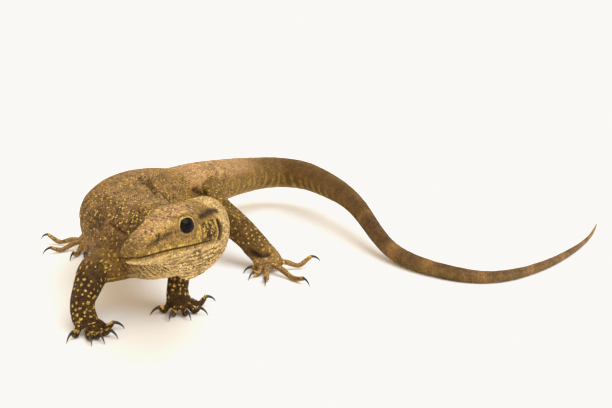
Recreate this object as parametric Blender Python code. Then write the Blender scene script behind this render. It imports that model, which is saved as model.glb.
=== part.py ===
# Clouded monitor, a still life-size model of a half-grown animal.
# It stands on its four feet with the trunk bent, the neck swung to its left,
# the head turned back to its right, and the tail lying in an open curve on the floor.
# +Z is up, the head looks towards -Y, and the tail runs out to +X.

import math

import bmesh
import bpy
import numpy as np
from mathutils import Vector

# Sizes and places are in millimetres until a mesh is made, which is in metres
MM = 0.001
GAP = 0.35              # clearance between two nodes that touch in life
ORIGIN = np.array([15.321, -152.0875, 0.0])      # middle of the footprint, in posing coordinates

# Head: its own axes are x forward, y to the animal's left, z up, from the level of the ears
HEAD_PLACE = np.array([-44.4, -260.3, 53.2])
HEAD_YAW, HEAD_PITCH, HEAD_ROLL = math.radians(-110.1), math.radians(1.6), math.radians(-4.9)
HEAD_BACK = -8.0        # the plane where head and neck meet
THROAT_TAPER = 1.5      # above 1 draws the sides of the throat in
# Along the head: x, half width, crown height, height of the mouth line, depth of jaw and throat
HEAD_ROWS = np.array([
    [-8.0, 11.6, 10.4, -2.4, -20.6],
    [0.0, 11.9, 10.9, -2.0, -21.4],
    [7.0, 11.5, 11.1, -1.6, -19.2],
    [14.0, 10.6, 11.0, -1.2, -14.6],
    [20.5, 9.5, 10.5, -0.9, -10.6],
    [27.0, 7.9, 9.2, -0.5, -7.8],
    [35.0, 6.2, 7.6, -0.1, -5.9],
    [41.4, 5.1, 6.2, 0.1, -4.4],
    [45.6, 4.0, 4.9, 0.1, -3.1],
    [47.7, 2.6, 3.2, 0.1, -2.0],
    [48.7, 0.9, 1.4, 0.1, -0.7],
])
SNOUT_TIP = 48.7
MOUTH_CORNER = 6.5      # x where the mouth line ends
LIP_DEPTH, LIP_WIDTH, LIP_EASE = 0.7, 0.38, 2.0
# The brow is squared off between these places; the numbers say how much its side and its top are
ROOF_START, ROOF_EASE, ROOF_END, ROOF_FADE = 0.0, 18.0, 40.0, 11.0
ROOF_SIDE, ROOF_TOP = 0.34, 0.12
EYE_AT = np.array([20.6, 5.55, 5.95])
EYE_RADIUS = 3.75
EYE_FACING = np.array([0.25, 0.93, 0.27])
LID_COVER = 0.5         # thickness of the lids over the eyeball
LID_BACK, LID_EASE, LID_ROUND = 2.6, 1.6, 0.45  # how far behind the eye the lids start, and how softly
EYE_HALF_LENGTH, EYE_HALF_HEIGHT = 3.45, 2.95
LID_DEPTHS, LID_FLARE = np.array([0.8, 4.0, 8.0]), 0.25    # the opening widens outwards by this share
CORNER_POINT = 1.15     # above 1 makes the corners of the eye a little pointed
NOSTRIL_AT = np.array([36.0, 5.2, 5.3])
NOSTRIL_SIZE, NOSTRIL_LEAN = (1.7, 1.5, 0.62), -0.8
EAR_AT = np.array([-0.2, 11.6, 2.0])
EAR_SIZE, EAR_LEAN = (1.35, 1.9, 3.1), 0.16
# Swellings and hollows of the head's side: height, place, half sizes, lean in the side view
HEAD_RELIEF = [
    (1.2, (19.5, 7.8, 10.2), (6.5, 3.0, 2.0), -0.10),       # brow
    (1.25, (25.2, 7.3, 8.5), (4.6, 2.4, 1.8), -0.22),       # ridge before the eye
    (0.45, (31.5, 5.6, 7.6), (6.5, 2.0, 1.5), -0.22),       # ridge towards the nostril
    (-0.75, (29.0, 7.6, 3.9), (5.0, 3.0, 2.2), -0.10),      # hollow below the ridge
    (0.7, (5.5, 11.8, 1.8), (5.5, 4.0, 4.4), 0.0),          # muscle of the jaw
    (-0.9, (10.0, 10.2, 8.2), (5.5, 2.6, 1.8), -0.20),      # temple
    (0.35, (36.0, 6.2, 5.3), (3.2, 2.2, 2.0), -0.80),       # round the nostril
    (0.5, (2.4, 11.6, 2.0), (1.3, 3.0, 4.0), 0.16),         # before the ear
    (0.5, (-3.2, 11.6, 2.0), (1.4, 3.0, 4.0), 0.16),        # behind the ear
]
BUMP_FALL = 1.6         # how steeply a swelling falls away over its half sizes
RELIEF_EASE = 3.0       # the relief fades out over this length towards the neck
MIDDLE_BACK = 2.0       # normals point away from a middle this far behind each ring
LIP_REACH = 0.06        # share of a turn to either side of the mouth line that it may mark

# Spine behind the head, front to back: x, y, z, half width, rise to the back, drop to the belly
NECK_ROWS = [
    [-46.3, -241.3, 47.0, 9.9, 12.0, 17.4],
    [-53.0, -232.0, 43.0, 11.6, 12.4, 17.2],
    [-60.0, -222.5, 39.6, 14.0, 13.6, 18.4],
    [-68.0, -213.0, 37.2, 16.2, 14.8, 20.4],
]
TRUNK_ROWS = [
    [-76.0, -202.5, 35.6, 18.2, 15.6, 21.6],
    [-83.5, -189.5, 35.0, 20.6, 16.2, 20.6],
    [-88.8, -174.5, 34.8, 22.8, 16.4, 20.0],
    [-91.0, -157.0, 34.8, 23.4, 16.8, 21.0],
    [-89.0, -138.0, 34.8, 23.0, 16.4, 20.6],
    [-83.0, -119.5, 34.4, 20.6, 14.6, 18.4],
    [-74.5, -103.5, 33.8, 17.6, 12.4, 15.8],
    [-66.0, -88.5, 33.4, 15.0, 12.6, 14.0],
    [-58.0, -72.0, 31.8, 12.8, 12.6, 13.0],
]
TAIL_ROWS = [
    [-50.5, -54.5, 29.8, 11.4, 12.4, 12.2],
    [-43.0, -35.5, 27.4, 10.4, 12.0, 11.4],
    [-33.5, -17.0, 25.0, 9.6, 11.4, 10.8],
    [-19.0, -6.5, 23.8, 8.8, 10.8, 10.2],
    [-3.0, -14.0, 23.6, 8.0, 10.2, 9.6],
    [8.0, -31.0, 23.4, 7.4, 9.5, 8.9],
    [16.2, -48.0, 22.8, 6.9, 8.8, 8.2],
    [23.2, -62.5, 21.2, 6.3, 8.1, 7.2],
    [29.2, -77.0, 18.9, 5.9, 7.4, 6.4],
    [34.0, -92.5, 15.8, 5.4, 6.7, 5.7],
    [38.0, -107.0, 12.2, 5.0, 6.1, 5.2],
    [42.0, -120.5, 9.0, 4.7, 5.6, 5.0],
    [47.6, -134.5, 6.0, 4.5, 5.2, 5.0],
    [56.0, -149.0, 4.5, 4.2, 4.8, 4.6],
    [69.5, -163.2, 3.85, 3.7, 4.3, 4.1],
    [88.5, -172.0, 3.2, 3.1, 3.6, 3.5],
    [117.5, -158.5, 2.6, 2.5, 3.0, 2.9],
    [144.5, -129.5, 2.0, 1.9, 2.4, 2.3],
    [169.5, -92.0, 1.3, 1.2, 1.55, 1.5],
    [184.0, -62.0, 0.75, 0.65, 0.8, 0.85],
    [187.7, -53.0, 0.45, 0.3, 0.4, 0.45],
]
HEAD_LEAD = 2.4         # the neck follows the head's back face for this length
NECK_EASE = 18.0        # the neck's rings turn from the head's back face to the spine over this length
NECK_LEAN = 30.0        # and lose the head's lean to one side over this length
THROAT_FADE = 60.0
KEEL_EASE = 90.0        # the tail grows narrower above and below over this length
KEEL_TOP, KEEL_BELOW = 0.30, 0.12
BODY_FULL, FULL_EASE = 0.05, 20.0       # fullness of the trunk between back and flank
AXIS_STEP = 0.4         # a curve's direction is read this far to either side
NECK_END, TRUNK_END, HIPS_END = 56.0, 168.0, 218.0      # millimetres along the spine
TAIL_ENDS = [320.0, 425.0, 535.0]

# Limbs: x, y, z, half width, half thickness, from inside the body to the ball of the foot
ELBOW_ROW, WRIST_ROW = 2, 4
LIMBS = {
    "front_right": dict(
        rows=[
            [-74.0, -201.0, 26.0, 9.0, 8.4],
            [-84.5, -209.8, 23.2, 8.8, 8.4],
            [-94.7, -218.0, 21.8, 7.8, 7.5],
            [-96.8, -226.0, 16.4, 6.7, 6.2],
            [-97.8, -232.5, 10.8, 5.6, 5.0],
            [-96.6, -235.6, 7.0, 5.5, 4.1],
            [-94.8, -238.4, 4.8, 5.3, 3.5],
            [-93.8, -239.8, 3.9, 4.2, 2.5],
        ],
        tips=[[-79.6, -234.4, 0.0], [-79.9, -246.0, 0.0], [-84.2, -251.6, 0.0],
              [-89.0, -253.8, 0.0], [-100.2, -250.8, 0.0]],
        claw=6.2,
    ),
    "front_left": dict(
        rows=[
            [-66.0, -203.0, 27.6, 8.4, 7.6],
            [-61.0, -203.6, 25.4, 7.0, 6.4],
            [-58.6, -205.4, 21.4, 6.2, 5.8],
            [-58.8, -207.4, 16.2, 5.7, 5.3],
            [-59.4, -209.2, 11.4, 5.4, 4.7],
            [-59.2, -211.4, 7.2, 5.6, 4.1],
            [-58.4, -213.6, 4.8, 5.4, 3.5],
            [-57.9, -214.8, 3.9, 4.2, 2.5],
        ],
        tips=[[-70.9, -218.2, 0.0], [-61.2, -226.0, 0.0], [-51.6, -224.8, 0.0],
              [-44.8, -218.4, 0.0], [-42.6, -205.6, 2.0]],
        claw=6.2,
    ),
    "hind_left": dict(
        rows=[
            [-67.0, -84.0, 30.5, 11.5, 10.5],
            [-57.5, -101.0, 31.0, 10.2, 9.4],
            [-50.0, -122.5, 27.0, 8.3, 7.8],
            [-36.6, -136.5, 19.2, 7.6, 6.8],
            [-24.6, -146.6, 10.2, 6.8, 5.4],
            [-21.0, -150.2, 7.0, 7.4, 4.5],
            [-19.2, -154.4, 4.8, 7.8, 3.6],
            [-18.6, -156.4, 3.9, 6.2, 2.5],
        ],
        tips=[[-32.9, -156.8, 0.0], [-29.5, -168.8, 0.0], [-20.5, -178.8, 0.0],
              [1.8, -178.4, 0.0], [7.6, -147.5, 3.5]],
        claw=6.6,
    ),
    "hind_right": dict(
        rows=[
            [-68.0, -84.0, 31.0, 11.5, 10.5],
            [-86.0, -87.5, 31.5, 10.2, 9.4],
            [-107.0, -91.0, 28.0, 7.9, 7.6],
            [-115.6, -98.5, 19.0, 6.8, 6.5],
            [-121.0, -104.6, 10.8, 5.8, 5.1],
            [-124.6, -108.0, 7.0, 6.0, 4.2],
            [-128.4, -110.2, 4.8, 5.6, 3.5],
            [-130.0, -111.0, 3.9, 4.4, 2.5],
        ],
        tips=[[-116.0, -127.5, 0.0], [-122.5, -133.6, 0.0], [-130.0, -135.4, 0.0],
              [-148.2, -124.4, 0.5], [-156.4, -99.8, 2.5]],
        claw=6.6,
    ),
}
TOE_RADIUS = 1.7
TOE_ROOT = 4.3          # height of a toe's middle where it leaves the palm
PAD_HEIGHT = 1.4        # centre of the pad, so that its underside is a small flat
TOE_LEAD = 1.5          # a toe begins this far back inside the palm
TOE_RINGS = 13
TOE_START = 3.2         # distance from the palm's middle to a toe's root
CLAW_GAP = 0.6
CLAW_ROOT_LAP = 0.3     # the toe reaches this far past the claw's root
CLAW_RISE = 3.55        # height of the claw's root above the floor: the last joint of a toe is lifted
CLAW_UP, CLAW_DOWN = math.radians(5.0), math.radians(75.0)
CLAW_DEPTH, CLAW_WIDTH = 0.98, 0.68
CLAW_POINT, CLAW_TAPER = 0.08, 0.75
TOE_OVER_CLAW = 1.5     # the toe's end is this much wider than the claw's root
# Along a toe: share of its run, half width and half thickness as shares of the toe's radius, height,
# and how much of the height of the claw's tip is added to it
TOE_ALONG = [
    (0.36, 0.97, 0.92, 0.8 * TOE_ROOT, 0.2),
    (0.68, 0.90, 0.87, PAD_HEIGHT, 0.25),
    (0.88, 0.80, 0.80, 0.62 * CLAW_RISE, 0.8),
]
FOOT_STEP, FOOT_FACES = 0.4, 900      # fineness of the skin that fuses palm and toes, and its triangles
PALM_SHARE = 0.55       # the palm's middle lies this far between the limb's last rows but two and but one
BODY_BEYOND = 60.0      # the limbs are cut clear of the body up to here past the hips

SPINE_SIDES, TAIL_SIDES, LIMB_SIDES, TOE_SIDES, CLAW_SIDES = 28, 16, 14, 8, 6

LOOKS = {
    "head_skin": dict(color=(0.23, 0.15, 0.075, 1.0), roughness=0.5),
    "body_skin": dict(color=(0.17, 0.105, 0.045, 1.0), roughness=0.55),
    "tail_skin": dict(color=(0.13, 0.07, 0.028, 1.0), roughness=0.55),
    "limb_skin": dict(color=(0.075, 0.045, 0.02, 1.0), roughness=0.55),
    "claw_horn": dict(color=(0.03, 0.022, 0.018, 1.0), roughness=0.3),
    "eye": dict(color=(0.008, 0.007, 0.006, 1.0), roughness=0.06),
}


def clear_scene():
    for thing in list(bpy.data.objects):
        bpy.data.objects.remove(thing, do_unlink=True)


def material(name, look):
    made = bpy.data.materials.new(name)
    made.use_nodes = True
    shader = made.node_tree.nodes["Principled BSDF"]
    shader.inputs["Base Color"].default_value = look["color"]
    shader.inputs["Roughness"].default_value = look["roughness"]
    shader.inputs["Metallic"].default_value = 0.0
    return made


def knots_of(rows):
    """Distance along the straight legs between the rows' points."""
    legs = np.linalg.norm(np.diff(rows[:, :3], axis=0), axis=1)
    return np.concatenate([[0.0], np.cumsum(legs)])


def even_slopes(rows, knots):
    """Slopes at the knots that make the curvature run on evenly from one span to the next."""
    gap = np.diff(knots)
    rise = np.diff(rows, axis=0) / gap[:, None]
    weight = np.diag(np.concatenate([[2.0], 2.0 * (1 / gap[:-1] + 1 / gap[1:]), [2.0]]))
    weight += np.diag(np.concatenate([[1.0], 1 / gap[1:]]), 1)
    weight += np.diag(np.concatenate([1 / gap[:-1], [1.0]]), -1)
    inner = rise[:-1] / gap[:-1, None] + rise[1:] / gap[1:, None]
    return np.linalg.solve(weight, 3.0 * np.vstack([rise[:1], inner, rise[-1:]]))


def through(rows, knots, at):
    """Every column of rows as one smooth cubic curve, read at the given knot values."""
    slopes = even_slopes(rows, knots)
    i = np.clip(np.searchsorted(knots, at, side="right") - 1, 0, len(knots) - 2)
    span = (knots[i + 1] - knots[i])[:, None]
    u = (at - knots[i])[:, None] / span
    start = (1 + 2 * u) * (1 - u) ** 2 * rows[i] + u * (1 - u) ** 2 * span * slopes[i]
    end = u * u * (3 - 2 * u) * rows[i + 1] - u * u * (1 - u) * span * slopes[i + 1]
    return start + end


def unit(vectors):
    return vectors / np.linalg.norm(vectors, axis=-1, keepdims=True)


def smooth_step(t):
    t = np.clip(t, 0.0, 1.0)
    return t * t * (3.0 - 2.0 * t)


def axes_along(rows, knots, at):
    """Unit direction of travel of the curve."""
    ahead = through(rows[:, :3], knots, np.minimum(at + AXIS_STEP, knots[-1]))
    behind = through(rows[:, :3], knots, np.maximum(at - AXIS_STEP, 0.0))
    return unit(ahead - behind)


def head_axes():
    """Columns: the head's forward, left and up directions."""
    cy, sy = math.cos(HEAD_YAW), math.sin(HEAD_YAW)
    cp, sp = math.cos(HEAD_PITCH), math.sin(HEAD_PITCH)
    cr, sr = math.cos(HEAD_ROLL), math.sin(HEAD_ROLL)
    turn = np.array([[cy, -sy, 0], [sy, cy, 0], [0, 0, 1]])
    nod = np.array([[cp, 0, -sp], [0, 1, 0], [sp, 0, cp]])
    tilt = np.array([[1, 0, 0], [0, cr, -sr], [0, sr, cr]])
    return turn @ nod @ tilt


def head_to_world(points):
    return points @ head_axes().T + HEAD_PLACE


def spine_rows():
    """The head's back face, then the neck, trunk and tail, as one table."""
    width, crown, middle, throat = HEAD_ROWS[0, 1:]
    start = [head_to_world(np.array([HEAD_BACK - step, 0.0, middle])) for step in (GAP, HEAD_LEAD)]
    first = [[*place, width, crown - middle, middle - throat] for place in start]
    first[1][3] = width - 0.5
    return np.array(first + NECK_ROWS + TRUNK_ROWS + TAIL_ROWS)


def spine_rings(at, sides, grow=0.0):
    """Rings of points round the spine. Each is an oval with its own rise and drop; the tail's is keeled."""
    rows = spine_rows()
    knots = knots_of(rows)
    values = through(rows, knots, at)
    square = smooth_step(1.0 - at / NECK_EASE)[:, None]
    along = unit(axes_along(rows, knots, at) * (1 - square) - head_axes()[:, 0] * square)
    up = np.array([0.0, 0.0, 1.0]) + np.zeros((len(at), 3))
    share = smooth_step(1.0 - at / NECK_LEAN)[:, None]
    up = unit(up * (1 - share) + head_axes()[:, 2] * share)
    side = unit(np.cross(along, up))
    lift = np.cross(side, along)
    angle = np.arange(sides) * 2 * math.pi / sides + math.pi / sides
    across, height = np.cos(angle), np.sin(angle)
    hang = 1 + (THROAT_TAPER - 1) * smooth_step(1.0 - at / THROAT_FADE)[:, None]
    across = np.where(height > 0, across, np.sign(across) * np.abs(across) ** hang)
    keel = smooth_step((at - HIPS_END) / KEEL_EASE)[:, None]
    above, below = np.maximum(height, 0.0), np.maximum(-height, 0.0)
    narrow = 1 - keel * (KEEL_TOP * above ** 2 + KEEL_BELOW * below ** 2)
    full = 1 + BODY_FULL * (1 - keel) * np.abs(2 * across * height) * smooth_step(at / FULL_EASE)[:, None]
    out = (values[:, 3:4] * narrow * full + grow) * across
    tall = (np.where(height > 0, values[:, 4:5], values[:, 5:6]) * full + grow) * height
    points = values[:, None, :3] + side[:, None] * out[..., None] + lift[:, None] * tall[..., None]
    return points


def limb_rings(rows, at, sides):
    """Rings round a limb. The width turns from the plane of the joint to level across the foot."""
    table = np.array(rows)
    knots = knots_of(table)
    places = table[:, :3]
    bend = np.cross(places[ELBOW_ROW] - places[0], places[WRIST_ROW] - places[ELBOW_ROW])
    heading = places[-1] - places[WRIST_ROW]
    level = np.cross(heading, [0.0, 0.0, 1.0])
    bend, level = unit(bend), unit(level)
    if bend @ level < 0:
        bend = -bend
    share = smooth_step((np.arange(len(table)) - ELBOW_ROW) / (len(table) - 2.0 - ELBOW_ROW))[:, None]
    table = np.hstack([table, bend * (1 - share) + level * share])
    values = through(table, knots, at)
    along = axes_along(table, knots, at)
    side = values[:, 5:8] - along * np.sum(values[:, 5:8] * along, axis=1, keepdims=True)
    side = unit(side)
    lift = np.cross(side, along)
    angle = np.arange(sides) * 2 * math.pi / sides + math.pi / sides
    out = values[:, 3:4] * np.cos(angle)
    tall = values[:, 4:5] * np.sin(angle)
    return values[:, None, :3] + side[:, None] * out[..., None] + lift[:, None] * tall[..., None]


def fill_object(name, rings, look):
    """A closed mesh from rings of points, with a fan over each end."""
    count, sides = rings.shape[:2]
    points = (rings.reshape(-1, 3) - ORIGIN) * MM
    index = np.arange(count * sides).reshape(count, sides)
    here, ahead = index[:-1], index[1:]
    quads = np.stack([here, np.roll(here, -1, 1), np.roll(ahead, -1, 1), ahead], -1).reshape(-1, 4)
    middles = (np.array([rings[0].mean(0), rings[-1].mean(0)]) - ORIGIN) * MM
    first, last = count * sides, count * sides + 1
    fan = [[first, b, a] for a, b in zip(index[0], np.roll(index[0], -1))]
    fan += [[last, a, b] for a, b in zip(index[-1], np.roll(index[-1], -1))]
    mesh = bpy.data.meshes.new(name)
    mesh.from_pydata(np.vstack([points, middles]).tolist(), [], quads.tolist() + fan)
    thing = bpy.data.objects.new(name, mesh)
    bpy.context.scene.collection.objects.link(thing)
    mesh.materials.append(look)
    face_outward(thing)
    return thing


def face_outward(thing):
    shape = bmesh.new()
    shape.from_mesh(thing.data)
    bmesh.ops.triangulate(shape, faces=shape.faces[:])
    bmesh.ops.recalc_face_normals(shape, faces=shape.faces[:])
    if shape.calc_volume(signed=True) < 0:
        bmesh.ops.reverse_faces(shape, faces=shape.faces[:])
    shape.to_mesh(thing.data)
    shape.free()


def evaluated_mesh(thing):
    """The object's mesh with its modifiers applied."""
    bpy.context.view_layer.update()
    graph = bpy.context.evaluated_depsgraph_get()
    return bpy.data.meshes.new_from_object(thing.evaluated_get(graph))


def is_closed(mesh):
    shape = bmesh.new()
    shape.from_mesh(mesh)
    whole = all(len(edge.link_faces) == 2 for edge in shape.edges)
    shape.free()
    return whole


def boolean(thing, operation, others):
    """Joins or cuts with closed meshes, which are removed afterwards. The first closed result is kept."""
    group = bpy.data.collections.new(thing.name + "_tools")
    bpy.context.scene.collection.children.link(group)
    for other in others:
        for holder in list(other.users_collection):
            holder.objects.unlink(other)
        group.objects.link(other)
    change = thing.modifiers.new(operation.lower(), "BOOLEAN")
    change.operation = operation
    change.operand_type = "COLLECTION"
    change.collection = group
    for solver in ("EXACT", "MANIFOLD"):
        change.solver = solver
        made = evaluated_mesh(thing)
        if is_closed(made):
            break
    thing.modifiers.clear()
    thing.data = made
    for other in others:
        bpy.data.objects.remove(other, do_unlink=True)
    bpy.data.collections.remove(group)


def fuse(thing, others, step, faces):
    """Runs one even skin round overlapping closed pieces and thins it to so many triangles."""
    meshes = [thing] + others
    points = []
    sides = []
    for piece in meshes:
        base = len(points)
        points += [vert.co.to_tuple() for vert in piece.data.vertices]
        sides += [[base + i for i in side.vertices] for side in piece.data.polygons]
    mesh = bpy.data.meshes.new(thing.name)
    mesh.from_pydata(points, [], sides)
    mesh.materials.append(thing.data.materials[0])
    thing.data = mesh
    for other in others:
        bpy.data.objects.remove(other, do_unlink=True)
    skin = thing.modifiers.new("skin", "REMESH")
    skin.mode = "VOXEL"
    skin.voxel_size = step * MM
    thing.data = evaluated_mesh(thing)
    thing.modifiers.clear()
    thin = thing.modifiers.new("thin", "DECIMATE")
    thin.ratio = faces / (2.0 * len(thing.data.polygons))
    thing.data = evaluated_mesh(thing)
    thing.modifiers.clear()


def largest_shell(thing):
    """Keeps the biggest closed surface and drops the scraps that a union or a cut leaves."""
    shape = bmesh.new()
    shape.from_mesh(thing.data)
    bmesh.ops.remove_doubles(shape, verts=shape.verts[:], dist=0.000001)
    bmesh.ops.triangulate(shape, faces=shape.faces[:])
    left = set(shape.verts)
    shells = []
    while left:
        seed = left.pop()
        shell, front = {seed}, [seed]
        while front:
            for edge in front.pop().link_edges:
                for vert in edge.verts:
                    if vert in left:
                        left.discard(vert)
                        shell.add(vert)
                        front.append(vert)
        shells.append(shell)
    best = max(shells, key=len)
    bmesh.ops.delete(shape, geom=[v for v in shape.verts if v not in best], context="VERTS")
    shape.to_mesh(thing.data)
    shape.free()


def press_flat(thing):
    """Lifts every point below the floor up to it, which leaves small flats under pads."""
    count = len(thing.data.vertices)
    points = np.empty(count * 3)
    thing.data.vertices.foreach_get("co", points)
    points[2::3] = np.maximum(points[2::3], 0.0)
    thing.data.vertices.foreach_set("co", points)
    thing.data.update()


def ball(name, centre, sizes, look, lean=0.0, rings_count=10, sides=14):
    """An oval ball with its poles to the head's left and right, leaning in the head's side view."""
    polar = np.linspace(0.0, math.pi, rings_count + 1)[1:-1]
    turn = np.arange(sides) * 2 * math.pi / sides
    long = np.sin(polar)[:, None] * np.cos(turn) * sizes[0]
    wide = np.cos(polar)[:, None] * sizes[1] + np.zeros(sides)
    tall = np.sin(polar)[:, None] * np.sin(turn) * sizes[2]
    c, s = math.cos(lean), math.sin(lean)
    local = np.stack([c * long - s * tall, wide, s * long + c * tall], -1)
    pole = np.array([0.0, sizes[1], 0.0])
    thing = fill_object(name, head_to_world(local + centre), look)
    # the fans' middles move out to the poles
    poles = (head_to_world(np.array([centre + pole, centre - pole])) - ORIGIN) * MM
    thing.data.vertices[-2].co = Vector(poles[0])
    thing.data.vertices[-1].co = Vector(poles[1])
    return thing


def lid_cutter(centre, facing, look):
    """An oval funnel from inside the eye outwards, which opens the lids."""
    facing = unit(facing)
    fore = unit(np.array([1.0, 0.0, 0.0]) - facing * facing[0])
    rise = np.cross(facing, fore)
    rise = rise * np.sign(rise[2])
    turn = np.arange(20) * 2 * math.pi / 20
    # the funnel has the size of the opening where it leaves the eyeball, 4 mm from its middle
    wide = EYE_HALF_LENGTH + LID_FLARE * (LID_DEPTHS - LID_DEPTHS[1])
    tall = EYE_HALF_HEIGHT + LID_FLARE * (LID_DEPTHS - LID_DEPTHS[1])
    over = wide[:, None] * np.cos(turn)
    up = tall[:, None] * np.sign(np.sin(turn)) * np.abs(np.sin(turn)) ** CORNER_POINT
    rings = centre + facing * LID_DEPTHS[:, None, None] + fore * over[..., None] + rise * up[..., None]
    return fill_object("lid_cutter", head_to_world(rings), look)


def head_section(x, turn):
    """Points of the plain head: x along it, turn 0 to 1 from the right mouth line over the crown."""
    knots = HEAD_ROWS[:, 0]
    w, crown, mouth, throat = through(HEAD_ROWS[:, 1:], knots, x).T[:, :, None]
    over = turn < 0.5
    angle = turn * 2 * math.pi
    across = -np.cos(angle)
    height = np.sin(angle)
    flat = smooth_step((x[:, None] - ROOF_START) / ROOF_EASE)
    flat = flat * (1 - smooth_step((x[:, None] - ROOF_END) / ROOF_FADE))
    side = np.sign(across) * np.abs(across) ** (1 - ROOF_SIDE * flat)
    top = mouth + (crown - mouth) * np.abs(height) ** (1 - ROOF_TOP * flat)
    low = mouth - (mouth - throat) * np.abs(height)
    y = np.where(over, w * side, w * np.sign(across) * np.abs(across) ** THROAT_TAPER)
    z = np.where(over, top, low)
    return np.stack([x[:, None] + np.zeros_like(y), y, z], -1)


def bump(points, centre, size, lean):
    """1 at the centre, falling to 0 over the given half sizes, leaning in the x-z plane."""
    d = points - centre
    c, s = math.cos(lean), math.sin(lean)
    dx, dz = c * d[..., 0] + s * d[..., 2], -s * d[..., 0] + c * d[..., 2]
    r = (dx / size[0]) ** 2 + (d[..., 1] / size[1]) ** 2 + (dz / size[2]) ** 2
    return np.exp(-BUMP_FALL * r)


def head_relief(points, turn):
    """Height of brow, lids, temples, hollows, nostrils, ears and mouth line over the plain head."""
    both = points.copy()
    both[..., 1] = np.abs(both[..., 1])
    x = both[..., 0]
    knots = HEAD_ROWS[:, 0]
    mouth = through(HEAD_ROWS[:, 3:4], knots, x.ravel()).reshape(x.shape)
    relief = np.zeros_like(x)
    for height, place, sizes, lean in HEAD_RELIEF:
        relief += height * bump(both, np.array(place), sizes, lean)
    line = np.exp(-((both[..., 2] - mouth) / LIP_WIDTH) ** 2)
    shut = smooth_step((x - MOUTH_CORNER) / LIP_EASE)
    near_line = np.abs(np.abs(turn - 0.5) - 0.5) + 0 * x
    side_only = (np.minimum(np.abs(turn - 0.5), near_line) < LIP_REACH) | (np.abs(turn) < LIP_REACH)
    relief -= LIP_DEPTH * line * shut * side_only
    return relief


def head_turns():
    """Places round the head: close together at the mouth line, even elsewhere."""
    lip = np.array([-0.010, 0.0, 0.010])
    crown = np.linspace(0.025, 0.475, 23)
    throat = np.linspace(0.53, 0.97, 11)
    turns = np.concatenate([lip[1:], crown, 0.5 + lip, throat, 1.0 + lip[:1]])
    return turns


def surface_normals(rings, middle):
    """Outward unit normals of a grid that closes on itself round its second axis."""
    along = np.gradient(rings, axis=0)
    around = np.roll(rings, -1, 1) - np.roll(rings, 1, 1)
    normals = unit(np.cross(along, around))
    outward = rings - middle
    flip = np.sign(np.sum(normals * outward, axis=-1, keepdims=True))
    return normals * np.where(flip == 0, 1.0, flip)


def head_rings(stations, turns):
    """The head's grid with its relief, in the head's own axes."""
    plain = head_section(stations, turns)
    middle = plain.mean(axis=1, keepdims=True) - np.array([MIDDLE_BACK, 0.0, 0.0])
    normals = surface_normals(plain, middle)
    relief = head_relief(plain, turns[None, :])
    fade = smooth_step((stations - HEAD_BACK) / RELIEF_EASE)[:, None, None]
    return wrap_eyes(plain + normals * relief[..., None] * fade)


def wrap_eyes(points):
    """Pushes the skin out over the eyeballs, so that lids of even thickness cover them."""
    for sign in (1.0, -1.0):
        centre = EYE_AT * np.array([1.0, sign, 1.0])
        away = points - centre
        far = np.linalg.norm(away, axis=-1, keepdims=True)
        lid = EYE_RADIUS + GAP + LID_COVER
        # the larger of the two distances, with the step between them rounded off
        pushed = lid + np.log1p(np.exp((far - lid) / LID_ROUND)) * LID_ROUND
        facing = unit(EYE_FACING * np.array([1.0, sign, 1.0]))
        outer = smooth_step((np.sum(away * facing, axis=-1) + LID_BACK) / LID_EASE)
        points = points + (away / far) * (pushed - far) * outer[..., None]
    return points


def make_head(skin, eye_look):
    """Head with mouth line, lids, brows, nostrils and ears, and two eyes set in sockets."""
    stations = np.concatenate([
        np.linspace(HEAD_BACK, 11.0, 10)[:-1],
        np.linspace(11.0, 30.0, 18)[:-1],       # closer together by the eyes
        np.linspace(30.0, SNOUT_TIP, 15),
    ])
    head = fill_object("head", head_to_world(head_rings(stations, head_turns())), skin)
    cutters = []
    for sign in (1.0, -1.0):
        mirror = np.array([1.0, sign, 1.0])
        socket = np.full(3, EYE_RADIUS + GAP)
        cutters.append(ball("socket", EYE_AT * mirror, socket, skin, 0.0, 10, 16))
        cutters.append(lid_cutter(EYE_AT * mirror, EYE_FACING * mirror, skin))
        cutters.append(ball("nostril", NOSTRIL_AT * mirror, NOSTRIL_SIZE, skin, NOSTRIL_LEAN, 8, 10))
        cutters.append(ball("ear", EAR_AT * mirror, EAR_SIZE, skin, EAR_LEAN, 8, 12))
    boolean(head, "DIFFERENCE", cutters)
    largest_shell(head)
    for sign, name in ((1.0, "eye_left"), (-1.0, "eye_right")):
        eye = np.full(3, EYE_RADIUS)
        ball(name, EYE_AT * np.array([1.0, sign, 1.0]), eye, eye_look, 0.0, 10, 16)
    return head


def make_spine(looks):
    """Neck, trunk, hips and four lengths of tail, each its own closed piece."""
    total = knots_of(spine_rows())[-1]
    lengths = [
        ("neck", 0.0, NECK_END, 12, SPINE_SIDES),
        ("torso", NECK_END + GAP, TRUNK_END, 17, SPINE_SIDES),
        ("hips", TRUNK_END + GAP, HIPS_END, 9, SPINE_SIDES),
        ("tail_base", HIPS_END + GAP, TAIL_ENDS[0], 15, TAIL_SIDES),
        ("tail_middle", TAIL_ENDS[0] + GAP, TAIL_ENDS[1], 14, TAIL_SIDES),
        ("tail_end", TAIL_ENDS[1] + GAP, TAIL_ENDS[2], 14, TAIL_SIDES),
        ("tail_tip", TAIL_ENDS[2] + GAP, total, 15, TAIL_SIDES),
    ]
    for name, start, end, count, sides in lengths:
        rings = spine_rings(np.linspace(start, end, count), sides)
        rings[..., 2] = np.maximum(rings[..., 2], 0.0)
        look = "tail_skin" if name.startswith("tail") else "body_skin"
        fill_object(name, rings, looks[look])


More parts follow.
